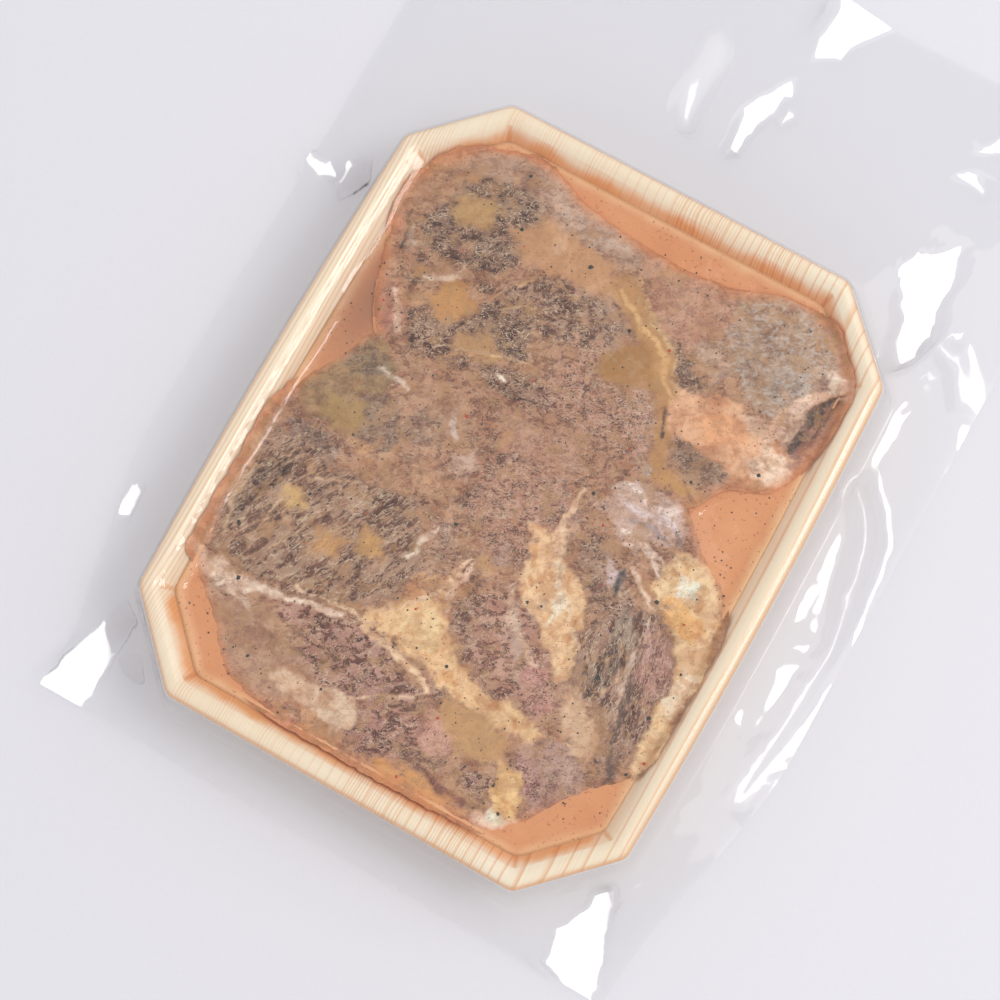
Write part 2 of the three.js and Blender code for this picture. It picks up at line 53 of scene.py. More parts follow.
def addNode(tree, kind, inputs=None, **settings):  # an input is a number, a hex colour or a link
    node = tree.nodes.new("ShaderNode" + kind)
    for name, value in settings.items():
        setattr(node, name, value)
    for name, value in (inputs or {}).items():
        if isinstance(value, bpy.types.NodeSocket):
            tree.links.new(value, node.inputs[name])
        else:
            isColour = isinstance(value, str)
            node.inputs[name].default_value = (*hexToLinear(value), 1) if isColour else value
    return node


def newMaterial(name):
    material = bpy.data.materials.new(name)
    material.use_nodes = True
    material.node_tree.nodes.clear()
    return material, material.node_tree


def objectPlace(tree):
    return addNode(tree, "TexCoord").outputs["Object"]


def attribute(tree, name, output="Fac"):
    return addNode(tree, "Attribute", attribute_name=name).outputs[output]


def noise(tree, place, scale, detail=2.0, roughness=0.5, distortion=0.0):
    values = {"Scale": scale, "Detail": detail, "Roughness": roughness, "Distortion": distortion}
    return addNode(tree, "TexNoise", {**values, "Vector": place}).outputs[0]


def ramp(tree, value, low, high, to=(0, 1), shape="SMOOTHSTEP"):
    values = {"From Min": low, "From Max": high, "To Min": to[0], "To Max": to[1], "Value": value}
    return addNode(tree, "MapRange", values, interpolation_type=shape).outputs[0]


def maths(tree, operation, *terms, clamp=False):
    inputs = dict(enumerate(terms))
    return addNode(tree, "Math", inputs, operation=operation, use_clamp=clamp).outputs[0]


def blend(tree, share, below, above, kind="MIX"):
    colours = {0: share, 6: below, 7: above}
    return addNode(tree, "Mix", colours, data_type="RGBA", blend_type=kind).outputs[2]


def bump(tree, height, strength, distance):
    values = {"Strength": strength, "Distance": distance, "Height": height}
    return addNode(tree, "Bump", values).outputs[0]


def useSurface(tree, kind, inputs):
    shader = addNode(tree, kind, inputs)
    addNode(tree, "OutputMaterial", {"Surface": shader.outputs[0]})


def mix(low, high, share):
    return low + (high - low) * share


def smooth(low, high, value):
    share = np.clip((value - low) / (high - low), 0, 1)
    return share * share * (3 - 2 * share)


def softNoise(x, y, size, seed):  # about -1 to 1, with lumps of the given size in mm
    turns = np.random.default_rng(seed).uniform(0, 2 * np.pi, (256, 256))
    u, v = x / size + 100, y / size + 100
    i, j = np.floor(u).astype(int), np.floor(v).astype(int)
    fu, fv = u - i, v - j

    def corner(di, dj):
        turn = turns[(i + di) % 256, (j + dj) % 256]
        return np.cos(turn) * (fu - di) + np.sin(turn) * (fv - dj)

    su, sv = (f ** 3 * (f * (f * 6 - 15) + 10) for f in (fu, fv))
    near = mix(corner(0, 0), corner(1, 0), su)
    far = mix(corner(0, 1), corner(1, 1), su)
    return 1.5 * mix(near, far, sv)


def lineDistance(line, x, y):  # distance to a line of points, and the share of its length
    points = np.array(line, float)
    lengths = np.hypot(*np.diff(points, axis=0).T)
    nearest, place = np.full(x.shape, 1e9), np.zeros(x.shape)
    done = 0
    for start, end, length in zip(points[:-1], points[1:], lengths):
        dx, dy = end - start
        share = np.clip(((x - start[0]) * dx + (y - start[1]) * dy) / length ** 2, 0, 1)
        distance = np.hypot(x - start[0] - share * dx, y - start[1] - share * dy)
        closer = distance < nearest
        nearest = np.where(closer, distance, nearest)
        place = np.where(closer, (done + share * length) / lengths.sum(), place)
        done += length
    return nearest, place


def insideArea(points, x, y):
    inside = np.zeros(x.shape, bool)
    for (ax, ay), (bx, by) in zip(points, [*points[1:], points[0]]):
        if ay == by:
            continue
        crosses = (ay > y) != (by > y)
        inside ^= crosses & (x < ax + (bx - ax) * (y - ay) / (by - ay))
    return inside


def areaDepth(points, x, y):  # distance inside an area's border, negative outside it
    distance, _ = lineDistance([*points, points[0]], x, y)
    return np.where(insideArea(points, x, y), distance, -distance)


def smoothLine(points, steps, closed=False):  # a curve through the points, dense
    points = np.array(points, float)
    count = len(points)

    def between(low, high, start, end, t):
        return (low * (end - t) + high * (t - start)) / (end - start)

    made = []
    for i in range(count if closed else count - 1):
        if closed:
            p = [points[(i + k) % count] for k in (-1, 0, 1, 2)]
        else:
            p = [points[max(i - 1, 0)], points[i], points[i + 1], points[min(i + 2, count - 1)]]
            p[0] = p[0] if i > 0 else 2 * p[1] - p[2]
            p[3] = p[3] if i < count - 2 else 2 * p[2] - p[1]
        knots = [0.0]
        for start, end in zip(p[:-1], p[1:]):
            knots.append(knots[-1] + max(np.linalg.norm(end - start), 1e-6) ** 0.5)
        for t in np.linspace(knots[1], knots[2], steps, endpoint=False):
            near = [between(p[k], p[k + 1], knots[k], knots[k + 1], t) for k in (0, 1, 2)]
            far = [between(near[k], near[k + 1], knots[k], knots[k + 2], t) for k in (0, 1)]
            made.append(between(*far, knots[1], knots[2], t))
    if not closed:
        made.append(points[-1])
    return np.array(made)


def spacedLine(points, count):  # a closed line resampled to evenly spaced points
    ring = np.vstack([points, points[:1]])
    run = np.concatenate([[0], np.cumsum(np.hypot(*np.diff(ring, axis=0).T))])
    places = np.linspace(0, run[-1], count, endpoint=False)
    return np.column_stack([np.interp(places, run, ring[:, k]) for k in (0, 1)])


def ringFaces(ringCount, pointCount, first=0):
    index = first + np.arange(ringCount * pointCount).reshape(ringCount, pointCount)
    after = np.roll(index, -1, axis=1)
    quads = np.stack([index[:-1], index[1:], after[1:], after[:-1]], axis=-1)
    return quads.reshape(-1, 4)


def fanFaces(middle, first, second):  # triangles from one point to each pair
    return np.column_stack([np.full(len(first), middle), first, second])


def gridInside(ring, ringFirst, firstFree):  # a square grid drawn out to a ring of 8 x half points
    half = len(ring) // 8
    steps = np.arange(-half, half + 1)
    column, row = np.meshgrid(steps, steps, indexing="ij")
    level = np.maximum(abs(column), abs(row))
    place = np.select(
        [(column == level) & (row < level), (row == level) & (column > -level),
         (column == -level) & (row > -level)],
        [row + level, 3 * level - column, 5 * level - row], 7 * level + column)
    place = place / (8 * np.maximum(level, 1)) * len(ring)
    whole = np.floor(place + 1e-6).astype(int)
    part = (place - whole)[..., None]
    onRing = mix(ring[whole % len(ring)], ring[(whole + 1) % len(ring)], part)
    middle = ring.mean(axis=0)
    points = middle + (onRing - middle) * (level / half)[..., None]
    border = level == half
    index = np.empty(level.shape, int)
    index[border] = ringFirst + whole[border] % len(ring)
    index[~border] = firstFree + np.arange((~border).sum())
    corners = index[:-1, :-1], index[1:, :-1], index[1:, 1:], index[:-1, 1:]
    faces = np.stack(corners, axis=-1).reshape(-1, 4)
    return points[~border], faces


def makePiece(name, points, faces, material, nodes, attributes=None):
    mesh = bpy.data.meshes.new(name)
    mesh.from_pydata((np.asarray(points) * mm).tolist(), [], [list(map(int, f)) for f in faces])
    for key, values in (attributes or {}).items():
        values = np.asarray(values, np.float32)
        if values.ndim == 1:
            mesh.attributes.new(key, "FLOAT", "POINT").data.foreach_set("value", values)
        else:
            colours = np.column_stack([values, np.ones(len(values), np.float32)])
            layer = mesh.attributes.new(key, "FLOAT_COLOR", "POINT")
            layer.data.foreach_set("color", colours.ravel())
    mesh.polygons.foreach_set("use_smooth", np.ones(len(mesh.polygons), bool))
    mesh.materials.append(material)
    mesh.update()
    piece = bpy.data.objects.new(name, mesh)
    bpy.context.scene.collection.objects.link(piece)
    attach(piece, "root")
    if nodes:
        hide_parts(*nodes)
    print("made", name, len(mesh.polygons), "faces")
    return piece


# The foam tray: the same section and outline as its solid, in millimetres.
tray = {
    "width": 159,
    "length": 200,
    "chamfer": 23.5,
    "cornerRadius": 5,
    "sideBow": 1.5,
    "base": 0.75,
    "floorTop": 3.75,
    "half": 62,
}
trayInside = [(46, 3.75), (23, 3.75), (19.8, 4.65), (8.6, 23.15)]
trayRim = [(6.7, 26.15), (5.1, 27.75), (3.2, 28.55), (1.3, 28.05), (0.2, 26.55), (0, 24.95)]
trayOutside = [(1.6, 23.55), (3.8, 22.35), (14.8, 2.35), (16.6, 0.75)]


def trayRing(inset, half):  # 8 x half points round the tray's outline, moved in by inset
    a, b = tray["width"] / 2 - inset, tray["length"] / 2 - inset
    c = max(tray["chamfer"] - inset * (2 - math.sqrt(2)), 1)
    corners = [(a, c - b), (a, b - c), (a - c, b), (c - a, b)]
    corners = np.array(corners + [(-x, -y) for x, y in corners], float)
    radius, perCorner = tray["cornerRadius"], 8
    spare = 8 * half - 8 * perCorner
    chamferLength, endLength, wayRound = 33, 112, 662  # mm, to share out the points evenly
    chamferCount = round(spare * chamferLength / wayRound)
    endCount = round(spare * endLength / wayRound)
    counts = [spare // 2 - endCount - 2 * chamferCount, chamferCount, endCount, chamferCount]
    ring = []
    for i, corner in enumerate(corners):
        before, after = corners[i - 1] - corner, corners[(i + 1) % 8] - corner
        before, length = before / np.linalg.norm(before), np.linalg.norm(after)
        after = after / length
        tangent = radius * math.tan(math.pi / 8)
        arrive, leave = corner + before * tangent, corner + after * tangent
        bisector = (before + after) / np.linalg.norm(before + after)
        centre = corner + bisector * radius / math.cos(math.pi / 8)
        for share in np.linspace(0, 1, perCorner, endpoint=False):
            way = mix(arrive - centre, leave - centre, share)
            ring.append(centre + way / np.linalg.norm(way) * radius)
        count = counts[i % 4]
        end = corners[(i + 1) % 8] - after * tangent
        bow = tray["sideBow"] * np.sign(corner[0]) if i % 4 == 0 else 0
        for share in np.linspace(0, 1, count, endpoint=False):
            ring.append(mix(leave, end, share) + (bow * 4 * share * (1 - share), 0))
    ring = np.array(ring) + (0, trayMiddleY)
    return ring


def trayInset(x, y):  # how far a point lies inside the tray's outline, from the tray's middle
    straight = tray["length"] / 2 - tray["chamfer"]
    along = np.minimum(abs(y) / straight, 1)
    side = tray["width"] / 2 + tray["sideBow"] * (1 - along ** 2) - abs(x)
    end = tray["length"] / 2 - abs(y)
    reach = tray["width"] / 2 + tray["length"] / 2 - tray["chamfer"]
    return np.minimum(np.minimum(side, end), (reach - abs(x) - abs(y)) / math.sqrt(2))


def trayHeight(x, y, sideGap=0):
    profile = np.array([*trayInside, *trayRim[:3]])[::-1]
    return np.interp(trayInset(x, y) - sideGap, profile[:, 0], profile[:, 1])


# Wood-grain printed polystyrene foam: thin lines on pale cream under a glossy laminate skin. The
# foam lets light in, so its shaded walls stay bright.
def woodPrintFoam():
    look = {
        "cream": "#F9E0BC",
        "paleCream": "#FFF1DA",
        "line": "#EBB98A",
        "rimLine": "#E5A35C",
        "marinadeStain": "#F4BC88",
        "lineEveryMm": 3.4,
        "fineLineEveryMm": 0.95,
        "roughness": 0.18,
    }
    material, tree = newMaterial("woodPrintFoam")
    place = objectPlace(tree)
    acrossTray = addNode(tree, "SeparateXYZ", {0: place}).outputs[0]
    alongGrain = addNode(tree, "Mapping", {0: place, "Scale": (1, 0.06, 0.3)}).outputs[0]
    wander = noise(tree, alongGrain, 30.0, 3.0)
    shifted = maths(tree, "MULTIPLY_ADD", wander, 0.022, acrossTray)
    across = addNode(tree, "CombineXYZ", {0: shifted}).outputs[0]

    def lines(everyMm, start):  # bands across x, one line every so many millimetres
        scale = 1 / (everyMm * mm) / 3.1831
        wave = addNode(tree, "TexWave", {"Scale": scale, "Distortion": 0.0, "Vector": across},
                       wave_profile="SAW")
        return ramp(tree, wave.outputs["Fac"], start, 1.0)

    spread = addNode(tree, "TexNoise", {"Scale": 45.0, "Detail": 2.0, "W": acrossTray},
                     noise_dimensions="1D").outputs[0]
    wideShare = ramp(tree, acrossTray, -0.030, 0.03, (0.12, 0.85), "LINEAR")
    fineShare = ramp(tree, spread, 0.46, 0.60, (0.08, 0.75), "LINEAR")
    wideLine = maths(tree, "MULTIPLY", lines(look["lineEveryMm"], 0.70), wideShare)
    fineLine = maths(tree, "MULTIPLY", lines(look["fineLineEveryMm"], 0.40), fineShare)
    colour = blend(tree, wander, look["cream"], look["paleCream"])
    colour = blend(tree, fineLine, colour, look["line"])
    colour = blend(tree, wideLine, colour, look["line"])
    colour = blend(tree, attribute(tree, "rimEdge"), colour, look["rimLine"])
    colour = blend(tree, attribute(tree, "stain"), colour, look["marinadeStain"], "MULTIPLY")
    cells = addNode(tree, "TexVoronoi", {"Scale": 900.0, "Vector": place}).outputs["Distance"]
    useSurface(tree, "BsdfPrincipled", {
        "Base Color": colour, "Normal": bump(tree, cells, 0.10, 0.0003),
        "Roughness": look["roughness"], "IOR": 1.5, "Coat Weight": 0.3, "Coat Roughness": 0.08,
        "Subsurface Weight": 0.3, "Subsurface Scale": 0.004,
        "Subsurface Radius": (1.0, 0.85, 0.65)})
    return material


def makeTray():
    inside = smoothLine([(46, 3.75), (23, 3.75), (20.6, 4.1), (19.2, 5.6), (8.6, 23.15)], 5)
    rim = smoothLine([(8.6, 23.15), *trayRim], 4)
    outside = smoothLine([(0, 24.95), *trayOutside], 5)
    section = np.vstack([inside, rim[1:], outside[1:]])
    rings = [np.column_stack([ring, np.full(len(ring), height)])
             for ring, height in ((trayRing(inset, tray["half"]), height)
                                  for inset, height in section)]
    count = len(rings[0])
    middles = [(0, trayMiddleY, tray["floorTop"]), (0, trayMiddleY, tray["base"])]
    points = np.vstack([*rings, middles])
    faces = ringFaces(len(rings), count).tolist()
    floor, base = len(points) - 2, len(points) - 1
    lastRing = (len(rings) - 1) * count
    for i in range(count):
        after = (i + 1) % count
        faces.append((floor, i, after))
        faces.append((base, lastRing + after, lastRing + i))
    x, y = points[:, 0], points[:, 1] - trayMiddleY
    inset = np.concatenate([np.repeat(section[:, 0], count), [80, 80]])
    order = np.concatenate([np.repeat(np.arange(len(section)), count), [0, len(section)]])
    onInside = order < len(inside) + 6
    wallNoise = softNoise(x, y, 9, 21) + 0.4 * softNoise(x, y, 2.5, 22)
    onSide = smooth(66, 72, abs(x)) * smooth(80, 72, abs(y))
    reach = 7.2 + 1.1 * wallNoise + 3.4 * onSide
    stain = np.where(onInside, 0.75 * smooth(reach - 1.6, reach + 1.2, inset), 0)
    tint = np.clip(0.18 + 0.22 * softNoise(x, y, 14, 23), 0, 0.5) * (1 - 0.7 * onSide)
    stain += np.where(onInside, tint * smooth(1.5, 5, inset), 0)
    rimEdge = 0.8 * np.exp(-((inset - 0.3) / 0.7) ** 2) * (points[:, 2] > 22)
    cornerX, cornerY = tray["width"] / 2 - tray["chamfer"], tray["length"] / 2 - tray["chamfer"]
    for outer, inner in (((tray["width"] / 2, cornerY), (70, cornerY - 4)),
                         ((cornerX, tray["length"] / 2), (cornerX - 4, 90))):
        crease, _ = lineDistance([outer, inner], abs(x), abs(y) + 0.3 * softNoise(x, y, 3, 24))
        rimEdge = np.maximum(rimEdge, 0.6 * (1 - smooth(0.2, 1.1, crease)) * onInside)
    makePiece("tray_wood_print", points, faces, woodPrintFoam(), ["tray"],
              {"stain": np.clip(stain, 0, 1), "rimEdge": rimEdge})


makeTray()


# The two slices of pork, in millimetres from the tray's middle and up from the ground.
slices = {
    "half": 128,  # an eighth of the points round a slice
    "edgeRadius": 3.4,
    "fromRim": 6.5,
    "thinnest": 1,
    "gap": 0.35,  # to the tray's wall
    "upperTop": 24.2,
    "lowerTop": 22.6,
    "overlapY": 17,  # where the upper slice's edge lies on the lower one
    "overlapSlope": 0.7,
    "lowest": 22.3,
}
# Muscles: the middle's x and y, the reach along and across, the turn in degrees and the rise.
upperMuscles = [
    (-45, 66, 24, 17, 10, 1.5), (-14, 47, 20, 22, -20, 1.2), (-46, 33, 19, 10, 5, 1.3),
    (18, 36, 13, 17, 25, 1), (48, 67, 21, 15, -12, 1.7), (48, 40, 19, 9, 12, 1.2),
    (12, 76, 30, 8, -4, 0.5),
]
lowerMuscles = [
    (-46, -2, 24, 13, 8, 1), (-52, -38, 22, 19, 55, 1.6), (-22, -24, 13, 24, 14, 1.1),
    (5, -4, 17, 15, 0, 1.4), (23, -40, 24, 13, -38, 1.5), (47, -27, 12, 18, 8, 1.6),
    (66, -30, 7, 34, 4, 1.7), (-18, -63, 30, 8, 6, 1.2), (2, -79, 15, 9, 18, 1.3),
    (30, -76, 14, 9, -12, 1.1), (46, -64, 10, 9, 0, 1.1), (-36, -80, 18, 7, -22, 0.8),
]
# Grooves: the line, its depth and its width.
upperGrooves = [
    ([(-70, 50), (-64, 49), (-52, 43), (-40, 49)], 1.5, 3.5),
    ([(0, 63), (15, 51), (26, 38), (32, 20)], 0.9, 5),
    ([(72, 72), (64, 58), (62, 48)], 2.2, 3.5),
]
lowerGrooves = [
    ([(-75, -60), (-52, -61), (-28, -56), (-9, -45), (1, -31), (2, -18)], 1.2, 4),
    ([(38, -4), (46, -12), (56, -32), (63, -57)], 2.2, 3.5),
    ([(-58, -74), (-20, -73), (12, -68), (36, -60)], 0.9, 4),
    ([(28, 8), (40, 5), (48, -3)], 2, 4),
]
# The slices' outlines, seen from above.
upperOutline = [
    (-54, 88), (-38, 91), (-24, 86), (0, 82.5), (24, 83), (44, 89), (59, 87.5), (70, 78.5),
    (73.5, 66), (72, 47), (66, 35), (54, 29), (47, 19), (28, 15), (6, 18), (-20, 18.5), (-42, 19),
    (-57, 20), (-63, 28), (-68, 41), (-72, 54), (-72, 68), (-67, 78),
]
lowerOutline = [
    (-64, 12), (-70, 2), (-74.5, -12), (-77, -28), (-77.5, -44), (-75, -58), (-65, -69),
    (-55, -79), (-46, -87), (-30, -91.5), (0, -92), (28, -91.5), (42, -90), (50, -83), (57, -73),
    (66, -62), (72.5, -54), (74.5, -38), (74.5, -20), (73.5, -6), (69, 3), (58, 11), (49, 20),
    (34, 30), (6, 33), (-26, 33), (-50, 29), (-61, 21),
]


def bulge(muscles, x, y):
    height = np.zeros(x.shape)
    for mx, my, a, b, turn, rise in muscles:
        c, s = math.cos(math.radians(turn)), math.sin(math.radians(turn))
        along = ((x - mx) * c + (y - my) * s) / a
        across = ((y - my) * c - (x - mx) * s) / b
        height = np.maximum(height, rise * np.sqrt(1 - np.minimum(along ** 2 + across ** 2, 1)))
    return height


def groove(grooves, x, y):
    depth = np.zeros(x.shape)
    for line, deep, width in grooves:
        depth = np.maximum(depth, deep * (1 - smooth(0, width, lineDistance(line, x, y)[0])))
    return depth


def meatGrain(x, y, seed):  # lumps and fibre bundles that stand up on a cut face
    lumps = 0.28 * softNoise(x, y, 7, seed) + 0.16 * softNoise(x, y, 3, seed + 1)
    return lumps + 0.10 * softNoise(x, y, 1.4, seed + 2)


def sliceEdge(outline, count, seed):  # an even outline, kept off the tray's wall
    edge = spacedLine(smoothLine(outline, 12, closed=True), count)
    x, y = edge.T
    tooNear = np.maximum(slices["fromRim"] - trayInset(x, y), 0)
    ragged = 0.5 * softNoise(x, y, 5, seed) + 0.3 * softNoise(x, y, 1.8, seed + 1)
    length = np.hypot(x, y)
    pull = 1 - (1.2 * tooNear + 0.5 + ragged) / length
    edge = edge * pull[:, None]
    area = np.sum(edge[:, 0] * np.roll(edge[:, 1], -1) - np.roll(edge[:, 0], -1) * edge[:, 1])
    return edge if area > 0 else edge[::-1]


upperBorder = sliceEdge(upperOutline, 200, 100).tolist()
lowerBorder = sliceEdge(lowerOutline, 200, 200).tolist()


def lowerOpenTop(x, y):
    open_ = slices["lowerTop"] + bulge(lowerMuscles, x, y) - groove(lowerGrooves, x, y)
    return np.maximum(open_ + meatGrain(x, y, 41), slices["lowest"])


def lowerTop(x, y):  # sinks where the upper slice lies on it
    covered = areaDepth(upperBorder, x, y)
    slope = slices["overlapSlope"] * np.maximum(covered - 1.5, 0)
    return lowerOpenTop(x, y) - 0.6 * smooth(0.2, 2.2, covered) - slope


def upperTop(x, y):  # thins out to a feather edge where it lies on the lower one
    plain = slices["upperTop"] + bulge(upperMuscles, x, y) - groove(upperGrooves, x, y)
    plain = np.maximum(plain + meatGrain(x, y, 31), slices["lowest"])
    near = smooth(36, 27, y)
    share = smooth(-0.5, 8, areaDepth(upperBorder, x, y))
    feathered = mix(lowerOpenTop(x, y) + 0.05, np.maximum(plain, lowerOpenTop(x, y)), share)
    return mix(plain, np.where(insideArea(lowerBorder, x, y), feathered, plain), near)


def lowerUnderside(x, y):
    return trayHeight(x, y, 2.5 * slices["gap"]) + slices["gap"]


def upperUnderside(x, y):
    onTray = lowerUnderside(x, y)
    onLower = np.maximum(lowerTop(x, y), onTray + slices["thinnest"]) + 0.04
    return np.where(y < slices["overlapY"] + 18, np.maximum(onTray, onLower), onTray)


def area(colour, *outline, **marks):  # a patch of fat, lean or paste, or of painted shade or painted highlight
    return {"area": outline, "colour": colour, **marks}


def strand(colour, widths, *line, **marks):  # a seam, fold or thread, or a line of painted shade, with its widths along it
    return {"line": line, "colour": colour, "widths": widths, **marks}


# What shows on each cut face, painted from the first to the last, with painted shade in grooves
# and under the upper slice's edge and one painted highlight. Areas and lines are in mm from the
# tray's middle; lean and web give fibre and marbling, and amount lets what lies below through.
upperTissueAndPaintedLight = [
    area("#A58D80", (-74, 84), (-30, 92), (-4, 84), (0, 74), (-26, 72), (-60, 76), amount=0.8),
    area("#B49D8C", (-32, 86), (-5, 83), (0, 77), (-14, 73), (-30, 77), amount=0.7, veil=0.8),
    area("#7A6455", (-62, 56), (-57, 72), (-46, 80), (-33, 78), (-28, 66), (-33, 55), (-45, 50),
         (-58, 50), lean=1),
    area("#A88468", (-72, 82), (-62, 84), (-57, 76), (-62, 58), (-72, 58), amount=0.8),
    area("#8A705F", (-32, 50), (-20, 60), (0, 64), (6, 56), (4, 47), (-14, 43), (-30, 44),
         lean=0.9),
    area("#866E5E", (12, 60), (22, 60), (34, 54), (30, 44), (22, 44), lean=0.8),
    area("#7E6757", (-41, 36), (-37, 43), (-28, 47), (-16, 43), (-13, 34), (-24, 30), (-37, 30),
         lean=1),
    area("#846B5A", (-52, 31), (-40, 34), (-20, 29), (-3, 30), (-1, 22), (-20, 19), (-46, 19),
         lean=1),
    area("#93705C", (-8, 46), (6, 52), (22, 46), (28, 30), (22, 20), (4, 18), (-6, 26), web=0.8,
         lean=0.85),
    area("#B38B64", (-30, 75), (2, 70), (6, 64), (-6, 61), (-30, 61), (-38, 66), amount=0.85,
         paste=0.9),
    area("#B28A75", (0, 80), (28, 80), (34, 72), (26, 60), (10, 66), amount=0.75, web=0.3),
    area("#B0905C", (-56, 70), (-44, 71), (-42, 63), (-52, 61), (-58, 64), amount=0.8, paste=0.9),
    area("#AF8550", (-47, 44), (-41, 45), (-36, 42), (-38, 35), (-45, 33), (-49, 37), paste=0.9),
    area("#99733F", (4, 50), (12, 56), (21, 52), (24, 45), (14, 40), (5, 41), paste=0.9),
    area("#AE8A5C", (-36, 33), (-28, 36), (-20, 32), (-26, 26), (-36, 28), amount=0.8, paste=0.9),
    area("#B08A57", (31, 27), (40, 26), (47, 24), (44, 16), (35, 17), paste=0.9),
    area("#A18B78", (32, 68), (30, 80), (44, 88), (60, 85), (71, 74), (66, 62), (58, 54), (46, 56),
         (38, 62), veil=1),
    area("#988474", (38, 74), (48, 76), (58, 72), (56, 62), (44, 60), (36, 66), amount=0.7,
         veil=0.7),
    area("#8F8782", (50, 67), (58, 70), (62, 64), (56, 58), (49, 60), amount=0.6, veil=1),
    area("#BBA593", (28, 66), (34, 68), (40, 60), (36, 54), (28, 58), amount=0.6, veil=0.6),
    strand("#AD8756", (9, 8, 8, 7, 6, 5), (0, 67), (10, 60), (20, 53), (27, 42), (33, 28),
           (36, 20), paste=0.8, amount=0.9),
    strand("#CDB488", (1, 2, 2, 1), (2, 71), (12, 63), (22, 56), (29, 45), amount=0.6),
    area("#D6B090", (28, 48), (40, 52), (56, 51), (66, 47), (70, 41), (66, 36), (54, 33), (44, 36),
         (34, 34), (28, 40), fat=0.7),
    area("#C7AFA0", (46, 50), (62, 56), (64, 50), (52, 46), amount=0.8),
    area("#D09C72", (36, 47), (46, 48), (52, 43), (44, 38), (36, 41), paste=0.5, amount=0.8),
    area("#E2D2C4", (58, 46), (68, 44), (69, 38), (62, 34), (54, 37), fat=1, amount=0.9),
    area("#7F6E62", (34, 36), (50, 34), (60, 30), (52, 27), (38, 28), lean=0.7, amount=0.8),
    area("#8C6656", (64, 72), (73, 72), (73, 46), (68, 42), (63, 48), lean=0.4),
    strand("#CDBBAE", (3, 4, 5, 3), (72, 73), (66, 67), (61, 58), (60, 50)),
    # painted shade: two dark lines down the groove near the right wall, where the cleft lies in
    # shadow
    strand("#4E403A", (1.5, 2.4, 2.6, 1.6), (71, 70), (67, 64), (65, 57), (64, 47)),
    strand("#4E3A32", (0.8, 1.4, 0.8), (68, 55), (70, 62), (71, 69)),
    # painted highlight: a near-white patch standing for a cluster of glints on the wet surface
    area("#EDE9E4", (64, 75), (72, 75), (74, 68), (68, 67), web=1),
    strand("#4A3F3A", (0.6, 1.2, 0.8), (60, 85), (66, 80), (71, 76)),
    area("#B98D74", (-75, 57), (-68, 58), (-64, 50), (-70, 48)),
    strand("#4C3A30", (0.8, 1.8, 1.6), (-67, 58), (-65, 52), (-65, 47)),
    strand("#CDC2BA", (2.2, 1.2), (-64, 52), (-61, 50), amount=0.6),
    strand("#D5C9BC", (1, 2.4, 1.2), (-54, 42), (-49, 44), (-44, 46), amount=0.7),
    strand("#CDBBA6", (1.2, 0.6), (-46, 45), (-44, 50), amount=0.6),
    area("#BB8A7C", (-68, 38), (-58, 37), (-51, 30), (-50, 21), (-60, 22), (-66, 28), amount=0.9),
    strand("#D5BDAE", (1.5, 3, 2), (-58, 35), (-54, 28), (-50, 21)),
    strand("#CDBFB0", (1.2, 1.8, 0.8), (-55, 24), (-51, 20), (-46, 17), amount=0.6),
    strand("#D6CCC6", (0.8, 1.8, 1.2), (20, 18.5), (34, 17), (46, 18)),
    strand("#C5AD8E", (0.5, 0.9, 0.7, 0.4), (-36, 27), (-28, 30), (-19, 33), (-8, 33), amount=0.7),
    strand("#C2A886", (0.4, 0.8, 0.4), (-30, 44), (-20, 49), (-10, 51), amount=0.7),
    strand("#B9B4B0", (3, 2.4), (31, 24), (31, 21), amount=0.8),
    strand("#E3DDD2", (1.6, 1), (-19, 27), (-17, 26)),
    strand("#D0BBA8", (1, 2.2, 1), (-59, 35), (-54, 31), (-52, 25), amount=0.7),
    strand("#D6C7B4", (0.6, 0.9, 0.5), (-54, 21), (-49, 20), (-43, 20), amount=0.8),
    strand("#C9AC84", (0.4, 0.8, 0.4), (-33, 46), (-29, 52), (-24, 56), amount=0.8),
    strand("#C9AC84", (0.4, 0.8, 0.4), (-38, 24), (-30, 28), (-22, 32), amount=0.8),
    strand("#CFB07C", (1, 1.8, 2.2, 2, 1), (-1, 66), (9, 60), (19, 54), (25, 47), (28, 43),
           paste=0.6, amount=0.8),
    strand("#5F4A3C", (1, 0.8), (27, 41), (30, 33)),
    strand("#D8C3B4", (2, 3, 3, 1.5), (57, 57), (61, 62), (65, 66), (72, 71)),
    strand("#DCC4B0", (2, 3, 1.5), (57, 57), (58, 49), (58, 44), amount=0.9),
    # painted shade: a dark band along the same groove
    strand("#594739", (1.5, 2.4, 1.2), (63, 52), (64, 60), (70, 69)),
]
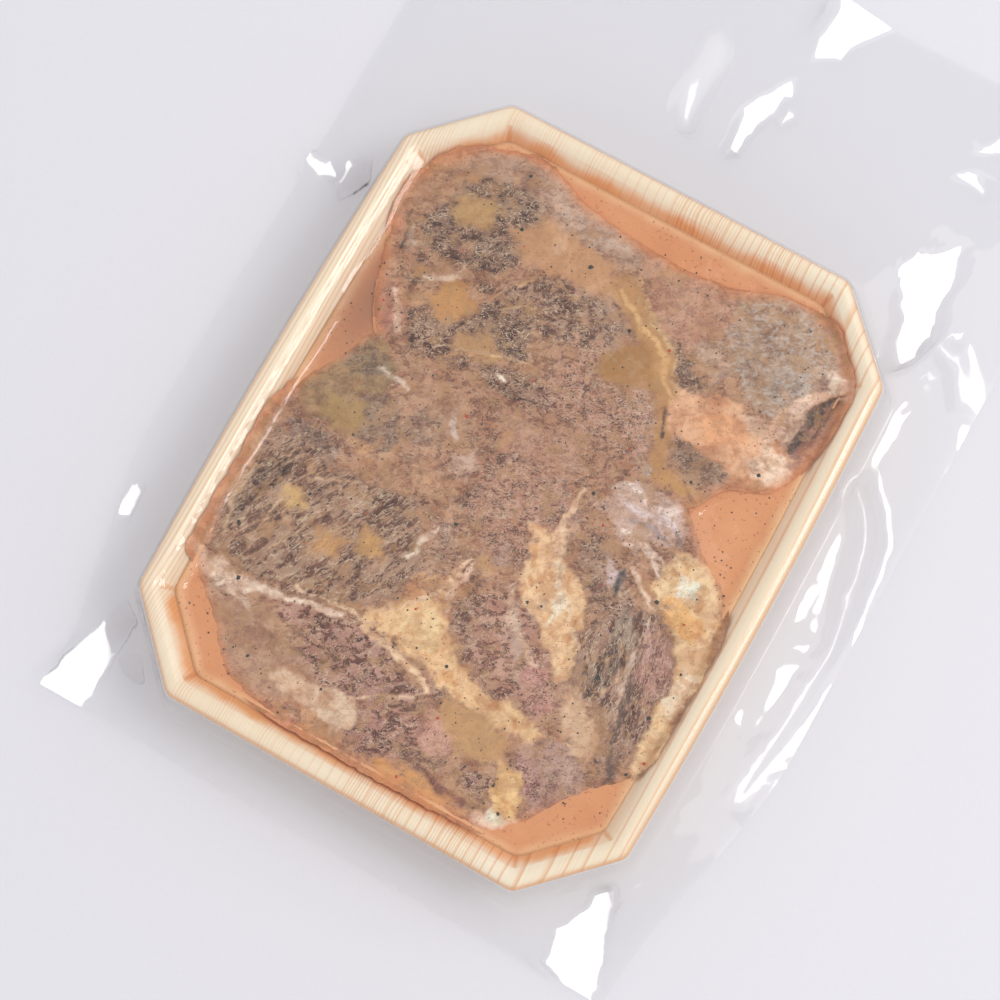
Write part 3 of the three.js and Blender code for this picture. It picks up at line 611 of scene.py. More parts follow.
lowerTissueAndPaintedLight = [
    area("#A07C64", (-74, 22), (-20, 24), (20, 24), (52, 20), (60, -6), (-74, -8), lean=0.6),
    area("#917B58", (-68, 12), (-58, 20), (-46, 17), (-44, 4), (-48, -9), (-60, -11), (-71, -4),
         amount=0.9, lean=0.25),
    # painted shade: a dark grey-green patch just below the upper slice's left edge, which shades
    # it
    area("#74695B", (-63, 16), (-52, 18), (-47, 12), (-54, 7), (-62, 8), amount=0.75, lean=0.5),
    area("#9E8450", (-60, -1), (-48, 1), (-44, -6), (-54, -10), (-62, -7), amount=0.7, paste=0.9),
    area("#A98870", (-40, 16), (-26, 17), (-18, 10), (-26, 3), (-38, 4), lean=0.3),
    area("#8C7668", (-35, 7), (-27, 7), (-25, 0), (-31, -3), (-37, 1), lean=0.6, amount=0.85),
    area("#85756C", (-50, 4), (-40, 6), (-34, -2), (-36, -9), (-48, -8), lean=0.6, amount=0.7),
    strand("#CFC8BE", (1, 2, 0.8), (-52, 13), (-46, 12), (-41, 11), amount=0.8),
    strand("#CBC0BC", (1.5, 3, 1), (-26, 11), (-24, 7), (-22, 4), amount=0.7),
    area("#C2B4AC", (-20, 0), (-16, 4), (-11, 2), (-13, -5), (-20, -4), amount=0.6, web=0.8),
    area("#96715F", (-10, 6), (2, 14), (12, 8), (20, -2), (14, -18), (2, -21), (-9, -12), web=0.8,
         lean=0.85),
    area("#A88570", (-14, 18), (4, 20), (16, 16), (8, 9), (-10, 9), web=0.7, lean=0.4),
    area("#9E8578", (2, -20), (8, -14), (10, -22), (4, -28), web=0.7),
    area("#BDAAA4", (24, 8), (32, 20), (46, 19), (52, 12), (46, 6), (34, 2), web=0.7),
    strand("#DBD2D0", (1.5, 3, 2, 2.5), (25, 14), (31, 17), (38, 15), (45, 17)),
    strand("#CFC6CC", (1, 2.5, 3, 1.5), (31, 11), (38, 12), (44, 14), (49, 11)),
    strand("#8E8A96", (1, 2, 1), (34, 8), (41, 9), (47, 7), amount=0.8),
    strand("#5C5862", (1, 2, 1), (47, 12), (49, 9), (51, 8), amount=0.7),
    area("#7E6C64", (-66, -12), (-60, -11), (-50, -15), (-50, -20), (-60, -19), (-67, -17),
         lean=0.8, amount=0.9),
    area("#927A68", (-72, -20), (-66, -14), (-50, -20), (-22, -16), (-14, -30), (-14, -44),
         (-26, -54), (-44, -58), (-66, -57), (-72, -44), lean=0.9, run=64),
    area("#746556", (-66, -26), (-58, -24), (-60, -36), (-66, -50), (-68, -42), lean=1, run=64,
         amount=0.8),
    area("#C9AC70", (-57, -30), (-52, -29), (-50, -35), (-55, -37), paste=0.9, amount=0.8),
    area("#B88F56", (-43, -37), (-34, -37), (-34, -43), (-42, -45), paste=0.9, amount=0.8),
    area("#BC9658", (-33, -30), (-24, -32), (-23, -37), (-31, -38), paste=0.9, amount=0.8),
    strand("#D9CEC2", (0.8, 1.8, 1), (-17, -32), (-15, -26), (-13, -20)),
    strand("#C9B49C", (0.6, 1.4, 0.8), (-52, -27), (-46, -23), (-40, -21), amount=0.7),
    strand("#CDB694", (1.5, 2.5, 2), (-72, -22), (-70, -32), (-74, -44), amount=0.6),
    area("#957A6A", (-10, -21), (-3, -24), (-1, -36), (-14, -38), (-16, -30), lean=0.8,
         amount=0.8),
    area("#C79F74", (-14, -36), (2, -30), (8, -24), (2, -18), (4, -30), (-2, -42), (-12, -42),
         amount=0.8),
    area("#DCC29C", (10, -8), (16, -24), (22, -30), (31, -36), (39, -43), (43, -38), (39, -24),
         (31, -14), (24, -10), (20, -2), (16, -6), fat=1),
    strand("#D6BEA2", (1.2, 2, 3), (18, 10), (18, -4), (21, -14), amount=0.9),
    strand("#EBDFCF", (1, 2.5, 3, 1.5), (21, -8), (24, -14), (28, -22), (28, -30), amount=0.9),
    area("#917868", (26, 0), (38, -3), (46, -12), (50, -22), (44, -30), (37, -20), (28, -10),
         lean=0.9),
    area("#BDB3BA", (34, -4), (40, -5), (42, -9), (36, -11), web=1),
    area("#8F766A", (43, -20), (50, -14), (59, -14), (65, -28), (67, -42), (64, -56), (58, -50),
         (52, -44), (46, -45), (40, -38), (38, -28), lean=1, run=100),
    area("#9A7472", (55, -15), (60, -16), (65, -28), (64, -36), (57, -32), (54, -22), web=1,
         lean=0.6),
    area("#7B7063", (44, -16), (50, -16), (53, -30), (49, -42), (44, -38), (46, -26), lean=0.9,
         amount=0.8),
    area("#C7AE94", (51, -30), (54, -30), (52, -40), (50, -46), (46, -54), (50, -56), amount=0.8),
    area("#A58478", (8, -30), (16, -28), (22, -31), (31, -38), (39, -44), (42, -52), (34, -55),
         (22, -54), (12, -49), (4, -42), (1, -35), lean=0.9),
    area("#957D6E", (0, -33), (4, -42), (12, -48), (10, -36), (6, -31), lean=0.8, amount=0.6),
    area("#A67C7A", (28, -40), (36, -42), (41, -50), (38, -54), (31, -51), web=1, lean=0.6),
    strand("#B5A39C", (2.4, 3, 2, 1), (18, -31), (23, -38), (27, -45), (31, -50)),
    area("#DCC096", (-19, -50), (-9, -42), (0, -39), (5, -45), (12, -52), (24, -55), (40, -57),
         (44, -62), (36, -62), (14, -61), (2, -57), (-18, -55), fat=1),
    area("#E7CFA6", (-8, -46), (0, -42), (6, -49), (2, -55), (-8, -54), fat=1, amount=0.9),
    area("#CDB499", (42, -40), (50, -46), (56, -52), (58, -62), (50, -60), (44, -52), fat=0.6,
         amount=0.9),
    area("#E0CCA6", (50, 6), (60, 7), (68, 2), (73, -10), (74, -30), (74, -50), (70, -56),
         (66, -48), (67, -32), (62, -15), (54, -11), (49, -4), fat=1),
    area("#D9B071", (53, -7), (60, -6), (68, -10), (66, -15), (56, -13), amount=0.9, fat=0.6),
    area("#EFE9E1", (52, 1), (60, 2), (63, -3), (56, -6), fat=1),
    area("#EADFCE", (66, -22), (72, -22), (73, -36), (67, -34), fat=1, amount=0.8),
    strand("#B58A5E", (1, 2.4, 1), (71, 2), (72, -8), (74, -18), amount=0.8),
    # painted shadow: a dark line along the groove, where the fat flap by the right wall shades the
    # meat beside it
    strand("#5B463E", (1, 1.6, 2.4, 3), (55, -28), (59, -40), (61, -52), (66, -62)),
    strand("#38363A", (1.5, 3, 1.5), (40, -5), (40.5, -9), (40, -13)),
    strand("#D8CCC4", (1, 2.2, 1), (36, 2), (43, 2), (50, -3), amount=0.9),
    area("#AC8C76", (-70, -64), (-58, -66), (-30, -62), (-10, -76), (-30, -88), (-52, -84),
         (-62, -74), lean=0.25),
    area("#9A7A70", (-43, -61), (-30, -57), (-16, -54), (-4, -57), (1, -63), (9, -61), (6, -67),
         (-5, -73), (-17, -77), (-27, -73), (-40, -68), lean=1),
    area("#AA8A6C", (-42, -66), (-32, -64), (-28, -72), (-38, -76), amount=0.7),
    area("#8E6C68", (-9, -67), (-2, -66), (-4, -73), (-12, -74), web=1, lean=0.6),
    strand("#E2D7CC", (3, 5.5, 4.5, 3.5, 2.4, 2, 1.5), (-73, -57), (-66, -63), (-61, -62),
           (-53, -61), (-45, -60), (-36, -58), (-25, -56), fat=0.6),
    strand("#D0BDAE", (4, 3, 1), (-62, -60), (-55, -64), (-48, -67), amount=0.9),
    strand("#E0CBAE", (0.6, 0.9, 0.8), (-40, -55), (-24, -54), (-15, -53), amount=0.8),
    strand("#DCC4A6", (1, 2, 2.2, 1.5), (-18, -55), (-8, -57), (2, -60), (8, -63)),
    strand("#DCC7B0", (0.6, 1, 0.8), (-12, -75), (-2, -70), (8, -64), amount=0.8),
    strand("#D8C2B0", (1, 1.6, 1.6, 0.8), (1, -40), (-1, -34), (0.5, -29), (2, -24)),
    strand("#DAC4A8", (1, 1.5, 1.5, 1.2, 1), (-17, -49), (-10, -45), (-4, -38), (-2, -32),
           (0, -23), amount=0.9),
    strand("#D3BFAE", (1.5, 2.4, 2, 1), (14, -24), (18, -33), (27, -40), (32, -42), amount=0.8),
    strand("#E0CEB6", (1, 1.4, 2, 1.6, 0.8), (17, 0), (22, -8), (25, -16), (33, -25), (39, -31),
           amount=0.9),
    strand("#D9CABB", (1, 1.8, 0.8), (42, -4), (48, -8), (53, -12)),
    strand("#CDBFB4", (1.4, 1.8, 0.8), (56, -37), (54, -29), (53, -21), amount=0.8),
    strand("#C6B49C", (1, 2.4, 2.4, 1), (-66, -52), (-69, -43), (-68, -35), (-68, -30),
           amount=0.8),
    strand("#C9B294", (0.6, 1.1, 0.6), (-59, -45), (-57, -39), (-55, -33), amount=0.8),
    strand("#C9B294", (0.5, 1, 0.5), (-45, -45), (-41, -39), (-37, -34), amount=0.8),
    strand("#C4AB8C", (0.5, 0.9, 0.5), (-52, -49), (-47, -40), (-43, -32), amount=0.7),
    strand("#DDD2CC", (1.2, 2.2, 1), (33, 5), (41, 3), (48, 1)),
    area("#97746C", (-9, -76), (2, -71), (12, -69), (15, -77), (8, -86), (0, -87), (-7, -83),
         lean=1),
    area("#BD9488", (11, -67), (18, -67), (22, -74), (18, -80), (12, -76), web=1),
    area("#B39162", (14, -62), (26, -61), (36, -63), (36, -72), (24, -74), (15, -68), amount=0.9,
         paste=0.9),
    area("#8C6E66", (27, -77), (36, -75), (43, -78), (42, -83), (32, -83), lean=1),
    strand("#7E5346", (1.2, 2.2, 2.4, 1), (11, -81), (18, -83), (28, -86), (40, -84)),
    area("#9B7F78", (41, -60), (49, -56), (58, -62), (62, -72), (54, -81), (46, -75), (39, -67),
         lean=0.6, web=0.4),
    area("#8C6668", (40, -66), (46, -66), (49, -73), (44, -76), (40, -71), web=1, lean=0.7),
    area("#D8C7B2", (-34, -79), (-22, -77), (-10, -74), (-5, -80), (-10, -87), (-24, -85), fat=0.8,
         amount=0.9),
    area("#B58C66", (-34, -92), (-8, -92), (-6, -86), (-20, -84), (-34, -86)),
    area("#936455", (-42, -93), (-26, -93), (-18, -90), (-24, -86), (-40, -88), lean=0.8),
    area("#D2A594", (-30, -93), (-22, -93), (-22, -88), (-28, -88)),
    area("#C0915A", (4, -86), (16, -84), (34, -88), (30, -92), (6, -92), paste=0.9),
    area("#DCC08A", (35, -70), (43, -70), (46, -80), (48, -87), (40, -87), (38, -80), fat=0.7),
    area("#EFE7DE", (38, -84), (46, -84), (46, -90), (36, -89), fat=1),
]


def paintTissueAndLight(features, x, y):  # colour with painted shade and highlight, tissue masks and the fibres' run at each point
    wander = ((1.9, 10), (1.2, 4), (0.6, 1.8))  # how far and over how many mm the outlines wander
    wx = x + sum(far * softNoise(x, y, size, 110 + k) for k, (far, size) in enumerate(wander))
    wy = y + sum(far * softNoise(x, y, size, 113 + k) for k, (far, size) in enumerate(wander))
    patch = softNoise(x, y, 11, 116) + 0.6 * softNoise(x, y, 4, 117)
    crumb = softNoise(x, y, 2.2, 118) + 0.7 * softNoise(x, y, 1.1, 119)
    colour = mix(np.array(hexToLinear("#AC886C")), np.array(hexToLinear("#9F7E67")),
                 smooth(-0.8, 0.8, patch)[:, None])
    masks = {key: np.zeros(len(x)) for key in ("lean", "web", "fat", "veil", "paste")}
    masks["lean"] += 0.5
    run, narrow = np.full(len(x), 28.0), np.full(len(x), 0.7)

    def cover(share, target, marks):
        colour[:] += (np.array(hexToLinear(target)) - colour) * share[:, None]
        for key, mask in masks.items():
            mask += (marks.get(key, 0) - mask) * share

    def dabs(count, sizes, amount, seed):  # small uneven patches of every tissue
        rng = np.random.default_rng(seed)
        kinds = [("#806655", {"lean": 1}), ("#8C6E66", {"lean": 0.9}), ("#B38A58", {"paste": 1}),
                 ("#BC9772", {"lean": 0.3}), ("#C4A486", {"fat": 0.4}),
                 ("#A67C68", {"lean": 0.7, "web": 0.5})]
        for _ in range(count):
            cx, cy = rng.uniform(-74, 74), rng.uniform(-92, 92)
            size, stretch, turn = rng.uniform(*sizes), rng.uniform(1, 2.2), rng.uniform(0, np.pi)
            kind = kinds[rng.integers(len(kinds))]
            near = (abs(x - cx) < size * 3) & (abs(y - cy) < size * 3)
            if near.any():
                dx, dy = wx[near] - cx, wy[near] - cy
                u = (dx * math.cos(turn) + dy * math.sin(turn)) / stretch
                v = (dy * math.cos(turn) - dx * math.sin(turn)) * stretch
                share = np.zeros(len(x))
                away = np.hypot(u, v) + 0.4 * crumb[near]
                share[near] = amount * (1 - smooth(size * 0.6, size * 1.2, away))
                cover(share, *kind)

    dabs(150, (2, 5), 0.6, 130)
    for feature in features:
        if "area" in feature:
            depth = areaDepth(feature["area"], wx, wy)
            broken = 1.1 * crumb if feature.get("lean", 0) > 0.3 else 0.5 * crumb
            edge = 1.8 if feature.get("paste", 0) > 0.8 else 0.8
            share = smooth(-edge, edge, depth + broken)
        else:
            distance, along = lineDistance(feature["line"], mix(x, wx, 0.7), mix(y, wy, 0.7))
            widths = feature["widths"]
            width = np.interp(along, np.linspace(0, 1, len(widths)), widths)
            frayed = softNoise(x, y, 2.4, 120) + 0.8 * crumb
            away = distance + (0.07 * width + 0.1) * frayed
            share = 1 - smooth(width * 0.25, width * 0.6 + 0.15, away)
        marks = {"lean": 0.15 if feature.get("fat", 0) > 0.3 else 0.35,
                 **{key: feature[key] for key in masks if key in feature}}
        if "run" in feature:
            run[:] = np.where(share > 0.5, feature["run"], run)
            narrow[:] = np.where(share > 0.5, 0.38, narrow)
        cover(share * feature.get("amount", 1) * np.clip(1 - 0.16 * (patch + crumb), 0.5, 1),
              feature["colour"], marks)
    dabs(160, (0.8, 2.4), 0.45, 131)
    ends = np.maximum(areaDepth(upperBorder, x, y), areaDepth(lowerBorder, x, y))
    fatEdge = smooth(48, 60, x) * smooth(6, -6, y)  # the fat along the right wall stays pale
    soaked = 0.75 * smooth(5, 0.3, ends + 1.3 * patch + 0.6 * crumb) * (1 - 0.8 * fatEdge)
    cover(soaked, "#C98D62", {"lean": 0.2, "paste": 0.6})
    colour *= 1 + (0.09 * patch + 0.07 * crumb)[:, None]
    colour *= 1 + (0.26 * masks["lean"] + 0.10)[:, None]  # the dark bundles take this back
    colour *= np.array([1.17, 1.03, 0.90])  # a thin coat of marinade over everything
    turn = np.radians(run)
    along = (x * np.cos(turn) + y * np.sin(turn)) * narrow
    across = y * np.cos(turn) - x * np.sin(turn)
    return np.clip(colour, 0, 1), masks, np.column_stack([along * mm, across * mm, run * 0.001])


# Wet raw pork in marinade: clumps of dark fibre bundles one to three millimetres wide, with pale
# curly threads between them and smears of ochre paste on top, all under oil with a soft sheen.
def wetPork():
    look = {
        "blotch": "#CFB09A",
        "clump": "#9A7460",
        "fibreEnd": "#704B38",
        "thread": "#D9BD9E",
        "paste": "#B88B5C",
        "webLine": "#DDB096",
        "spiceDust": "#7C5234",
        "veilFibre": "#D3C6BC",
        "fatStain": "#D9A868",
        "clumpMm": 2.6,
        "threadMm": 2.0,
        "roughness": 0.34,
    }
    material, tree = newMaterial("wetPork")
    place, grain = objectPlace(tree), attribute(tree, "grainPlace", "Vector")

    def lumps(everyMm, detail, distortion=0.0, at=grain, roughness=0.62):
        return noise(tree, at, 1 / (everyMm * mm), detail, roughness, distortion)

    def between(value, low, high, most=1.0):
        return ramp(tree, value, low, high, (0, most))

    def combine(operation, first, second):
        return maths(tree, operation, first, second, clamp=True)

    def both(first, second):
        return combine("MULTIPLY", first, second)

    def over(below, share, colour, kind="MIX"):
        return blend(tree, share, below, colour, kind)

    def veins(everyMm, width, distortion):  # thin curly lines where a noise crosses its middle
        off = maths(tree, "SUBTRACT", lumps(everyMm, 1.0, distortion), 0.5)
        return between(maths(tree, "ABSOLUTE", off), width, width * 0.3)

    lean, fat, paste = (attribute(tree, name) for name in ("lean", "fat", "paste"))
    dry = combine("SUBTRACT", 1.0, paste)
    shown = both(lean, dry)
    # the painted colour, which holds lines of painted shade in grooves and one patch of painted
    # highlight
    colour = attribute(tree, "tissueAndPaintedLightColour", "Color")
    blotches = between(lumps(7, 3.0, 0.4, place), 0.42, 0.62, 0.6)
    colour = over(colour, both(blotches, dry), look["blotch"], "MULTIPLY")
    clumps = lumps(look["clumpMm"], 4.0, 0.5, roughness=0.74)
    colour = over(colour, both(between(clumps, 0.47, 0.56), shown), look["clump"], "MULTIPLY")
    ends = between(lumps(0.8, 3.0, 0.3, roughness=0.7), 0.53, 0.60)
    ends = both(ends, between(clumps, 0.44, 0.53))
    colour = over(colour, both(ends, both(shown, 0.85)), look["fibreEnd"], "MULTIPLY")
    longThreads = both(veins(look["threadMm"], 0.030, 1.4), between(lumps(5, 3.0), 0.42, 0.54))
    shortThreads = both(veins(1.1, 0.035, 1.0), between(lumps(3, 2.0), 0.47, 0.60))
    threads = combine("MAXIMUM", longThreads, shortThreads)
    flecks = between(lumps(0.7, 2.0), 0.385, 0.33, 0.75)
    pale = both(combine("MAXIMUM", threads, flecks), both(shown, 0.85))
    colour = over(colour, pale, look["thread"])
    web = combine("MAXIMUM", veins(1.9, 0.035, 0.5), veins(1.0, 0.04, 0.5))
    colour = over(colour, both(web, both(attribute(tree, "web"), 0.7)), look["webLine"])
    fibres = between(lumps(1.2, 3.0, 0.3), 0.48, 0.62, 0.5)
    colour = over(colour, both(fibres, attribute(tree, "veil")), look["veilFibre"])
    smears = between(lumps(5, 5.0, 0.6, place), 0.545, 0.60, 0.5)
    colour = over(colour, combine("SUBTRACT", smears, both(fat, 0.6)), look["paste"])
    stains = between(lumps(4.5, 4.0, 0.5, place), 0.50, 0.66, 0.6)
    colour = over(colour, both(stains, fat), look["fatStain"], "MULTIPLY")
    dust = between(lumps(0.7, 1.0, 0.0, place), 0.67, 0.75, 0.75)
    colour = over(colour, dust, look["spiceDust"])
    useSurface(tree, "BsdfPrincipled", {
        "Base Color": colour, "Normal": bump(tree, clumps, 0.5, 0.0004),
        "Roughness": look["roughness"], "IOR": 1.4})
    return material


porkMaterial = wetPork()


def makeSlice(name, node, outline, topAt, undersideAt, seed):
    radius, half = slices["edgeRadius"], slices["half"]
    edge = sliceEdge(outline, 8 * half, seed)
    middle = np.array([0, 54] if node == "pork_slice_upper" else [0, -32], float)

    def insetRing(inset):
        way = middle - edge
        return edge + way / np.linalg.norm(way, axis=1)[:, None] * inset

    def topHeight(x, y, inset):
        drop = radius - np.sqrt(radius ** 2 - np.maximum(radius - inset, 0) ** 2)
        if node == "pork_slice_upper":  # no rounded edge where it feathers out on the lower slice
            drop = drop * (1 - insideArea(lowerBorder, x, y) * smooth(36, 27, y))
        return np.maximum(topAt(x, y) - drop, undersideAt(x, y) + 0.04)

    insetsAbove = radius * (1 - np.sin(np.linspace(0, np.pi / 2, 9)))
    rings = [np.column_stack([ring, topHeight(*ring.T, inset)])
             for ring, inset in ((insetRing(inset), inset) for inset in insetsAbove)]
    insetsBelow = (0, 2, 5.5, 20)
    rings += [np.column_stack([ring, undersideAt(*ring.T)])
              for ring in (insetRing(inset) for inset in insetsBelow)]
    count = 8 * half
    free = len(rings) * count
    inner, gridFaces = gridInside(rings[0][:, :2], 0, free)
    inner = np.column_stack([inner, topHeight(*inner.T, radius)])
    centre = np.array([[*middle, undersideAt(*middle[:, None])[0]]])
    points = np.vstack([*rings, inner, centre])
    lastRing, bottom = (len(rings) - 1) * count, len(points) - 1
    around = np.arange(count)
    fan = fanFaces(bottom, lastRing + np.roll(around, -1), lastRing + around)
    faces = [*gridFaces.tolist(), *ringFaces(len(rings), count).tolist(), *fan.tolist()]
    colour, masks, grainPlace = paintTissueAndLight([*upperTissueAndPaintedLight, *lowerTissueAndPaintedLight], *points[:, :2].T)
    points[:, 1] += trayMiddleY
    makePiece(name, points, faces, porkMaterial, [node],
              {"tissueAndPaintedLightColour": colour, "grainPlace": grainPlace, **masks})


makeSlice("pork_shoulder_slice_upper", "pork_slice_upper", upperOutline, upperTop,
          upperUnderside, 100)
makeSlice("pork_shoulder_slice_lower", "pork_slice_lower", lowerOutline, lowerTop,
          lowerUnderside, 200)


# The marinade between meat and wall: one body that reaches in under the meat.
marinadeLevel = 22.0  # mm, drawn up towards the film by the vacuum


# Oily marinade: orange-brown and nearly opaque, paler where it thins out up the wall, browner
# over sunken meat, with paprika dust.
def oilyMarinade():
    look = {"thin": "#EBA873", "thick": "#D88850", "shallow": "#F3C08C", "meatBelow": "#A87050",
            "paprika": "#A4532E"}
    material, tree = newMaterial("oilyMarinade")
    place = objectPlace(tree)
    colour = blend(tree, noise(tree, place, 90.0, 4.0), look["thin"], look["thick"])
    colour = blend(tree, attribute(tree, "shallow"), colour, look["shallow"])
    colour = blend(tree, attribute(tree, "meatBelow"), colour, look["meatBelow"])
    dust = ramp(tree, noise(tree, place, 1200.0, 1.0), 0.66, 0.74, (0, 0.6), "LINEAR")
    colour = blend(tree, dust, colour, look["paprika"])
    useSurface(tree, "BsdfPrincipled", {"Base Color": colour, "Roughness": 0.32, "IOR": 1.45})
    return material


def makeMarinade():
    half = tray["half"]
    shore = np.interp(marinadeLevel + 0.7, [4.65, 23.15], [19.8, 8.6]) - 0.05
    ring = trayRing(shore, half)
    count = len(ring)
    rings = [np.column_stack([ring, np.full(count, marinadeLevel + 0.7)]),
             np.column_stack([trayRing(20.4, half), np.full(count, 4.4)])]
    inner, gridFaces = gridInside(ring, 0, 2 * count)
    x, y = inner[:, 0], inner[:, 1]
    fromWall = trayInset(x, y - trayMiddleY) - shore
    level = marinadeLevel + 0.15 * softNoise(x, y, 12, 51) * smooth(0, 3, fromWall)
    inner = np.column_stack([inner, level + 0.7 * (1 - smooth(0, 3.5, fromWall))])
    points = np.vstack([*rings, inner, [(0, trayMiddleY, 4.4)]])
    around = np.arange(count)
    fan = fanFaces(len(points) - 1, count + np.roll(around, -1), count + around)
    faces = [*gridFaces.tolist(), *ringFaces(2, count).tolist(), *fan.tolist()]
    x, y = points[:, 0], points[:, 1] - trayMiddleY
    shallow = 1 - smooth(shore, shore + 3.5, trayInset(x, y) + 0.8 * softNoise(x, y, 6, 52))
    meatBelow = 0.9 * np.exp(-((x + 64) / 9) ** 2 - ((y - 30) / 24) ** 2)
    makePiece("marinade", points, faces, oilyMarinade(),
              ["marinade_pool_top", "marinade_pool_left", "marinade_pool_right",
               "marinade_pool_bottom_left", "marinade_pool_bottom_right"],
              {"shallow": shallow, "meatBelow": meatBelow})


makeMarinade()


# Cracked pepper and dried chili in the marinade: small angular flakes, dull and wet.
def spiceMaterial(name, colourA, colourB):
    material, tree = newMaterial(name)
    colour = blend(tree, noise(tree, objectPlace(tree), 500.0), colourA, colourB)
    useSurface(tree, "BsdfPrincipled", {"Base Color": colour, "Roughness": 0.45, "IOR": 1.45})
    return material


def contentsTop(x, y):  # the highest of meat and marinade, measured from the tray's middle
    height = np.full(x.shape, float(marinadeLevel))
    lower = insideArea(lowerBorder, x, y)
    upper = insideArea(upperBorder, x, y)
    floor = lowerUnderside(x, y) + slices["thinnest"]
    height = np.where(lower, np.maximum(height, np.maximum(lowerTop(x, y), floor)), height)
    return np.where(upper, np.maximum(height, np.maximum(upperTop(x, y), floor)), height)


spices = {
    "pepperGrains": 800,
    "pepperSizes": (0.12, 0.36),
    "bigPepper": [(-9, -17), (48, -36), (68, -24), (66, -39), (68, -56), (37, -77), (42, -83),
                  (-42, -79),
                  (-35, 68), (-12, 68), (7, 57), (-41, 84), (-19, -77), (20, -27), (-50, -30),
                  (44, 26),
                  (-64, -47), (-16, -59), (52, -9), (9, -54), (60, 37), (-56, -61), (24, -26),
                  (21, 10)],
    "bigSize": (0.45, 0.85),
    "chili": [(71, -51), (-7, -44), (-44, -43), (-50, 60), (14, -68), (-33, -27), (20, 57),
              (76, 45), (-32, 64),
              (30, 44), (-12, -2), (62, -11), (28, 3), (55, 44), (-22, 12), (36, -12), (-60, 30),
              (12, -88),
              (-10, 30), (24, 26)],
    "chiliSize": (0.3, 0.55),
}


def makeGrains(name, material, places, sizes, seed, lift):
    rng = np.random.default_rng(seed)
    corners = np.array([(1, 0, 0), (0.3, 0.95, 0), (-0.8, 0.6, 0), (-0.8, -0.6, 0),
                        (0.3, -0.95, 0), (0, 0, 0.55), (0, 0, -0.4)])
    sides = [(i, (i + 1) % 5, 5) for i in range(5)] + [((i + 1) % 5, i, 6) for i in range(5)]
    places = np.array(places, float)
    heights = contentsTop(places[:, 0], places[:, 1])
    points, faces = [], []
    for (x, y), height, size in zip(places, heights, rng.uniform(*sizes, len(places))):
        turn = rng.uniform(0, 2 * np.pi)
        shape = corners * rng.uniform(0.65, 1.25, corners.shape) * size
        c, s = math.cos(turn), math.sin(turn)
        x0, y0, z0 = shape.T
        shape = np.column_stack([x0 * c - y0 * s, x0 * s + y0 * c, z0])
        faces += [[len(points) * 7 + k for k in side] for side in sides]
        points.append(shape + (x, y + trayMiddleY, height + lift * size))
    piece = makePiece(name, np.vstack(points), faces, material, [])
    piece.data.polygons.foreach_set("use_smooth", np.zeros(len(faces), bool))


def scatterPlaces(count, seed):  # places on the meat, a few of them in the marinade
    rng = np.random.default_rng(seed)
    x, y = rng.uniform(-72, 72, count * 3), rng.uniform(-90, 90, count * 3)
    keep = trayInset(x, y) > 11
    dense = 0.5 + softNoise(x, y, 26, seed + 1)
    keep &= rng.uniform(0, 1, len(x)) < np.clip(dense, 0.15, 1)
    return np.column_stack([x, y])[keep][:count]


makeGrains("cracked_pepper", spiceMaterial("crackedPepper", "#2B2A26", "#4A4538"),
           [*scatterPlaces(spices["pepperGrains"], 61).tolist()], spices["pepperSizes"], 62, 0.1)
makeGrains("peppercorn_pieces", spiceMaterial("peppercornPieces", "#23241F", "#3A3F30"),
           spices["bigPepper"], spices["bigSize"], 63, 0.1)
makeGrains("chili_flakes", spiceMaterial("chiliFlakes", "#D5532B", "#B93A1C"),
           spices["chili"], spices["chiliSize"], 64, 0.15)


# The clear vacuum pouch, in millimetres.
pouch = {
    "width": 214,
    "length": 300,
    "shortEndWidth": 186,
    "half": 100,  # an eighth of the points round the pouch
    "seamHeight": 9,  # where the two sheets meet beside the tray
    "seamOutside": 4.5,
    "looseEdgeHeight": 3.2,
    "settledHeight": 1.2,  # of the loose film far from the tray
    "settledReach": 62,
    "looseRings": 46,
    "sheetGap": 0.4,
    "filmGap": 0.3,  # over tray and contents
}


# Clear polyamide and polyethylene film: nearly invisible face on, bright where it mirrors a lamp.
def clearFilm():
    look = {"haze": "#F4F4F6", "gloss": 0.05, "hazeShare": 0.02, "faceOn": 0.045, "grazing": 0.75,
            "rubbed": 0.32}
    material, tree = newMaterial("clearVacuumFilm")
    place = objectPlace(tree)
    crinkle = noise(tree, place, 160.0, 1.0)
    pressed = maths(tree, "MULTIPLY", noise(tree, place, 650.0, 0.0), attribute(tree, "cling"))
    normal = bump(tree, maths(tree, "ADD", crinkle, pressed), 0.10, 0.0006)
    rubbed = attribute(tree, "rubbed")
    roughness = maths(tree, "MULTIPLY_ADD", rubbed, look["rubbed"], look["gloss"])
    clear = addNode(tree, "BsdfTransparent").outputs[0]
    haze = addNode(tree, "BsdfDiffuse", {"Color": look["haze"]}).outputs[0]
    gloss = addNode(tree, "BsdfGlossy", {"Normal": normal, "Roughness": roughness}).outputs[0]
    hazy = addNode(tree, "MixShader", {0: look["hazeShare"], 1: clear, 2: haze}).outputs[0]
    facing = addNode(tree, "LayerWeight", {"Blend": 0.5, "Normal": normal}).outputs["Facing"]
    steep = maths(tree, "POWER", facing, 5.0)
    mirrored = maths(tree, "MULTIPLY_ADD", steep, look["grazing"], look["faceOn"])
    useSurface(tree, "MixShader", {0: mirrored, 1: hazy, 2: gloss})
    return material


filmMaterial = clearFilm()


def dilate(field, cells):
    grown = field.copy()
    reach = int(math.ceil(cells))
    for i in range(-reach, reach + 1):
        for j in range(-reach, reach + 1):
            if i * i + j * j <= cells * cells:
                grown = np.maximum(grown, np.roll(np.roll(field, i, 0), j, 1))
    return grown


def blur(field, rounds):
    for _ in range(rounds):
        for axis in (0, 1):
            field = (np.roll(field, 1, axis) + 2 * field + np.roll(field, -1, axis)) / 4
    return field


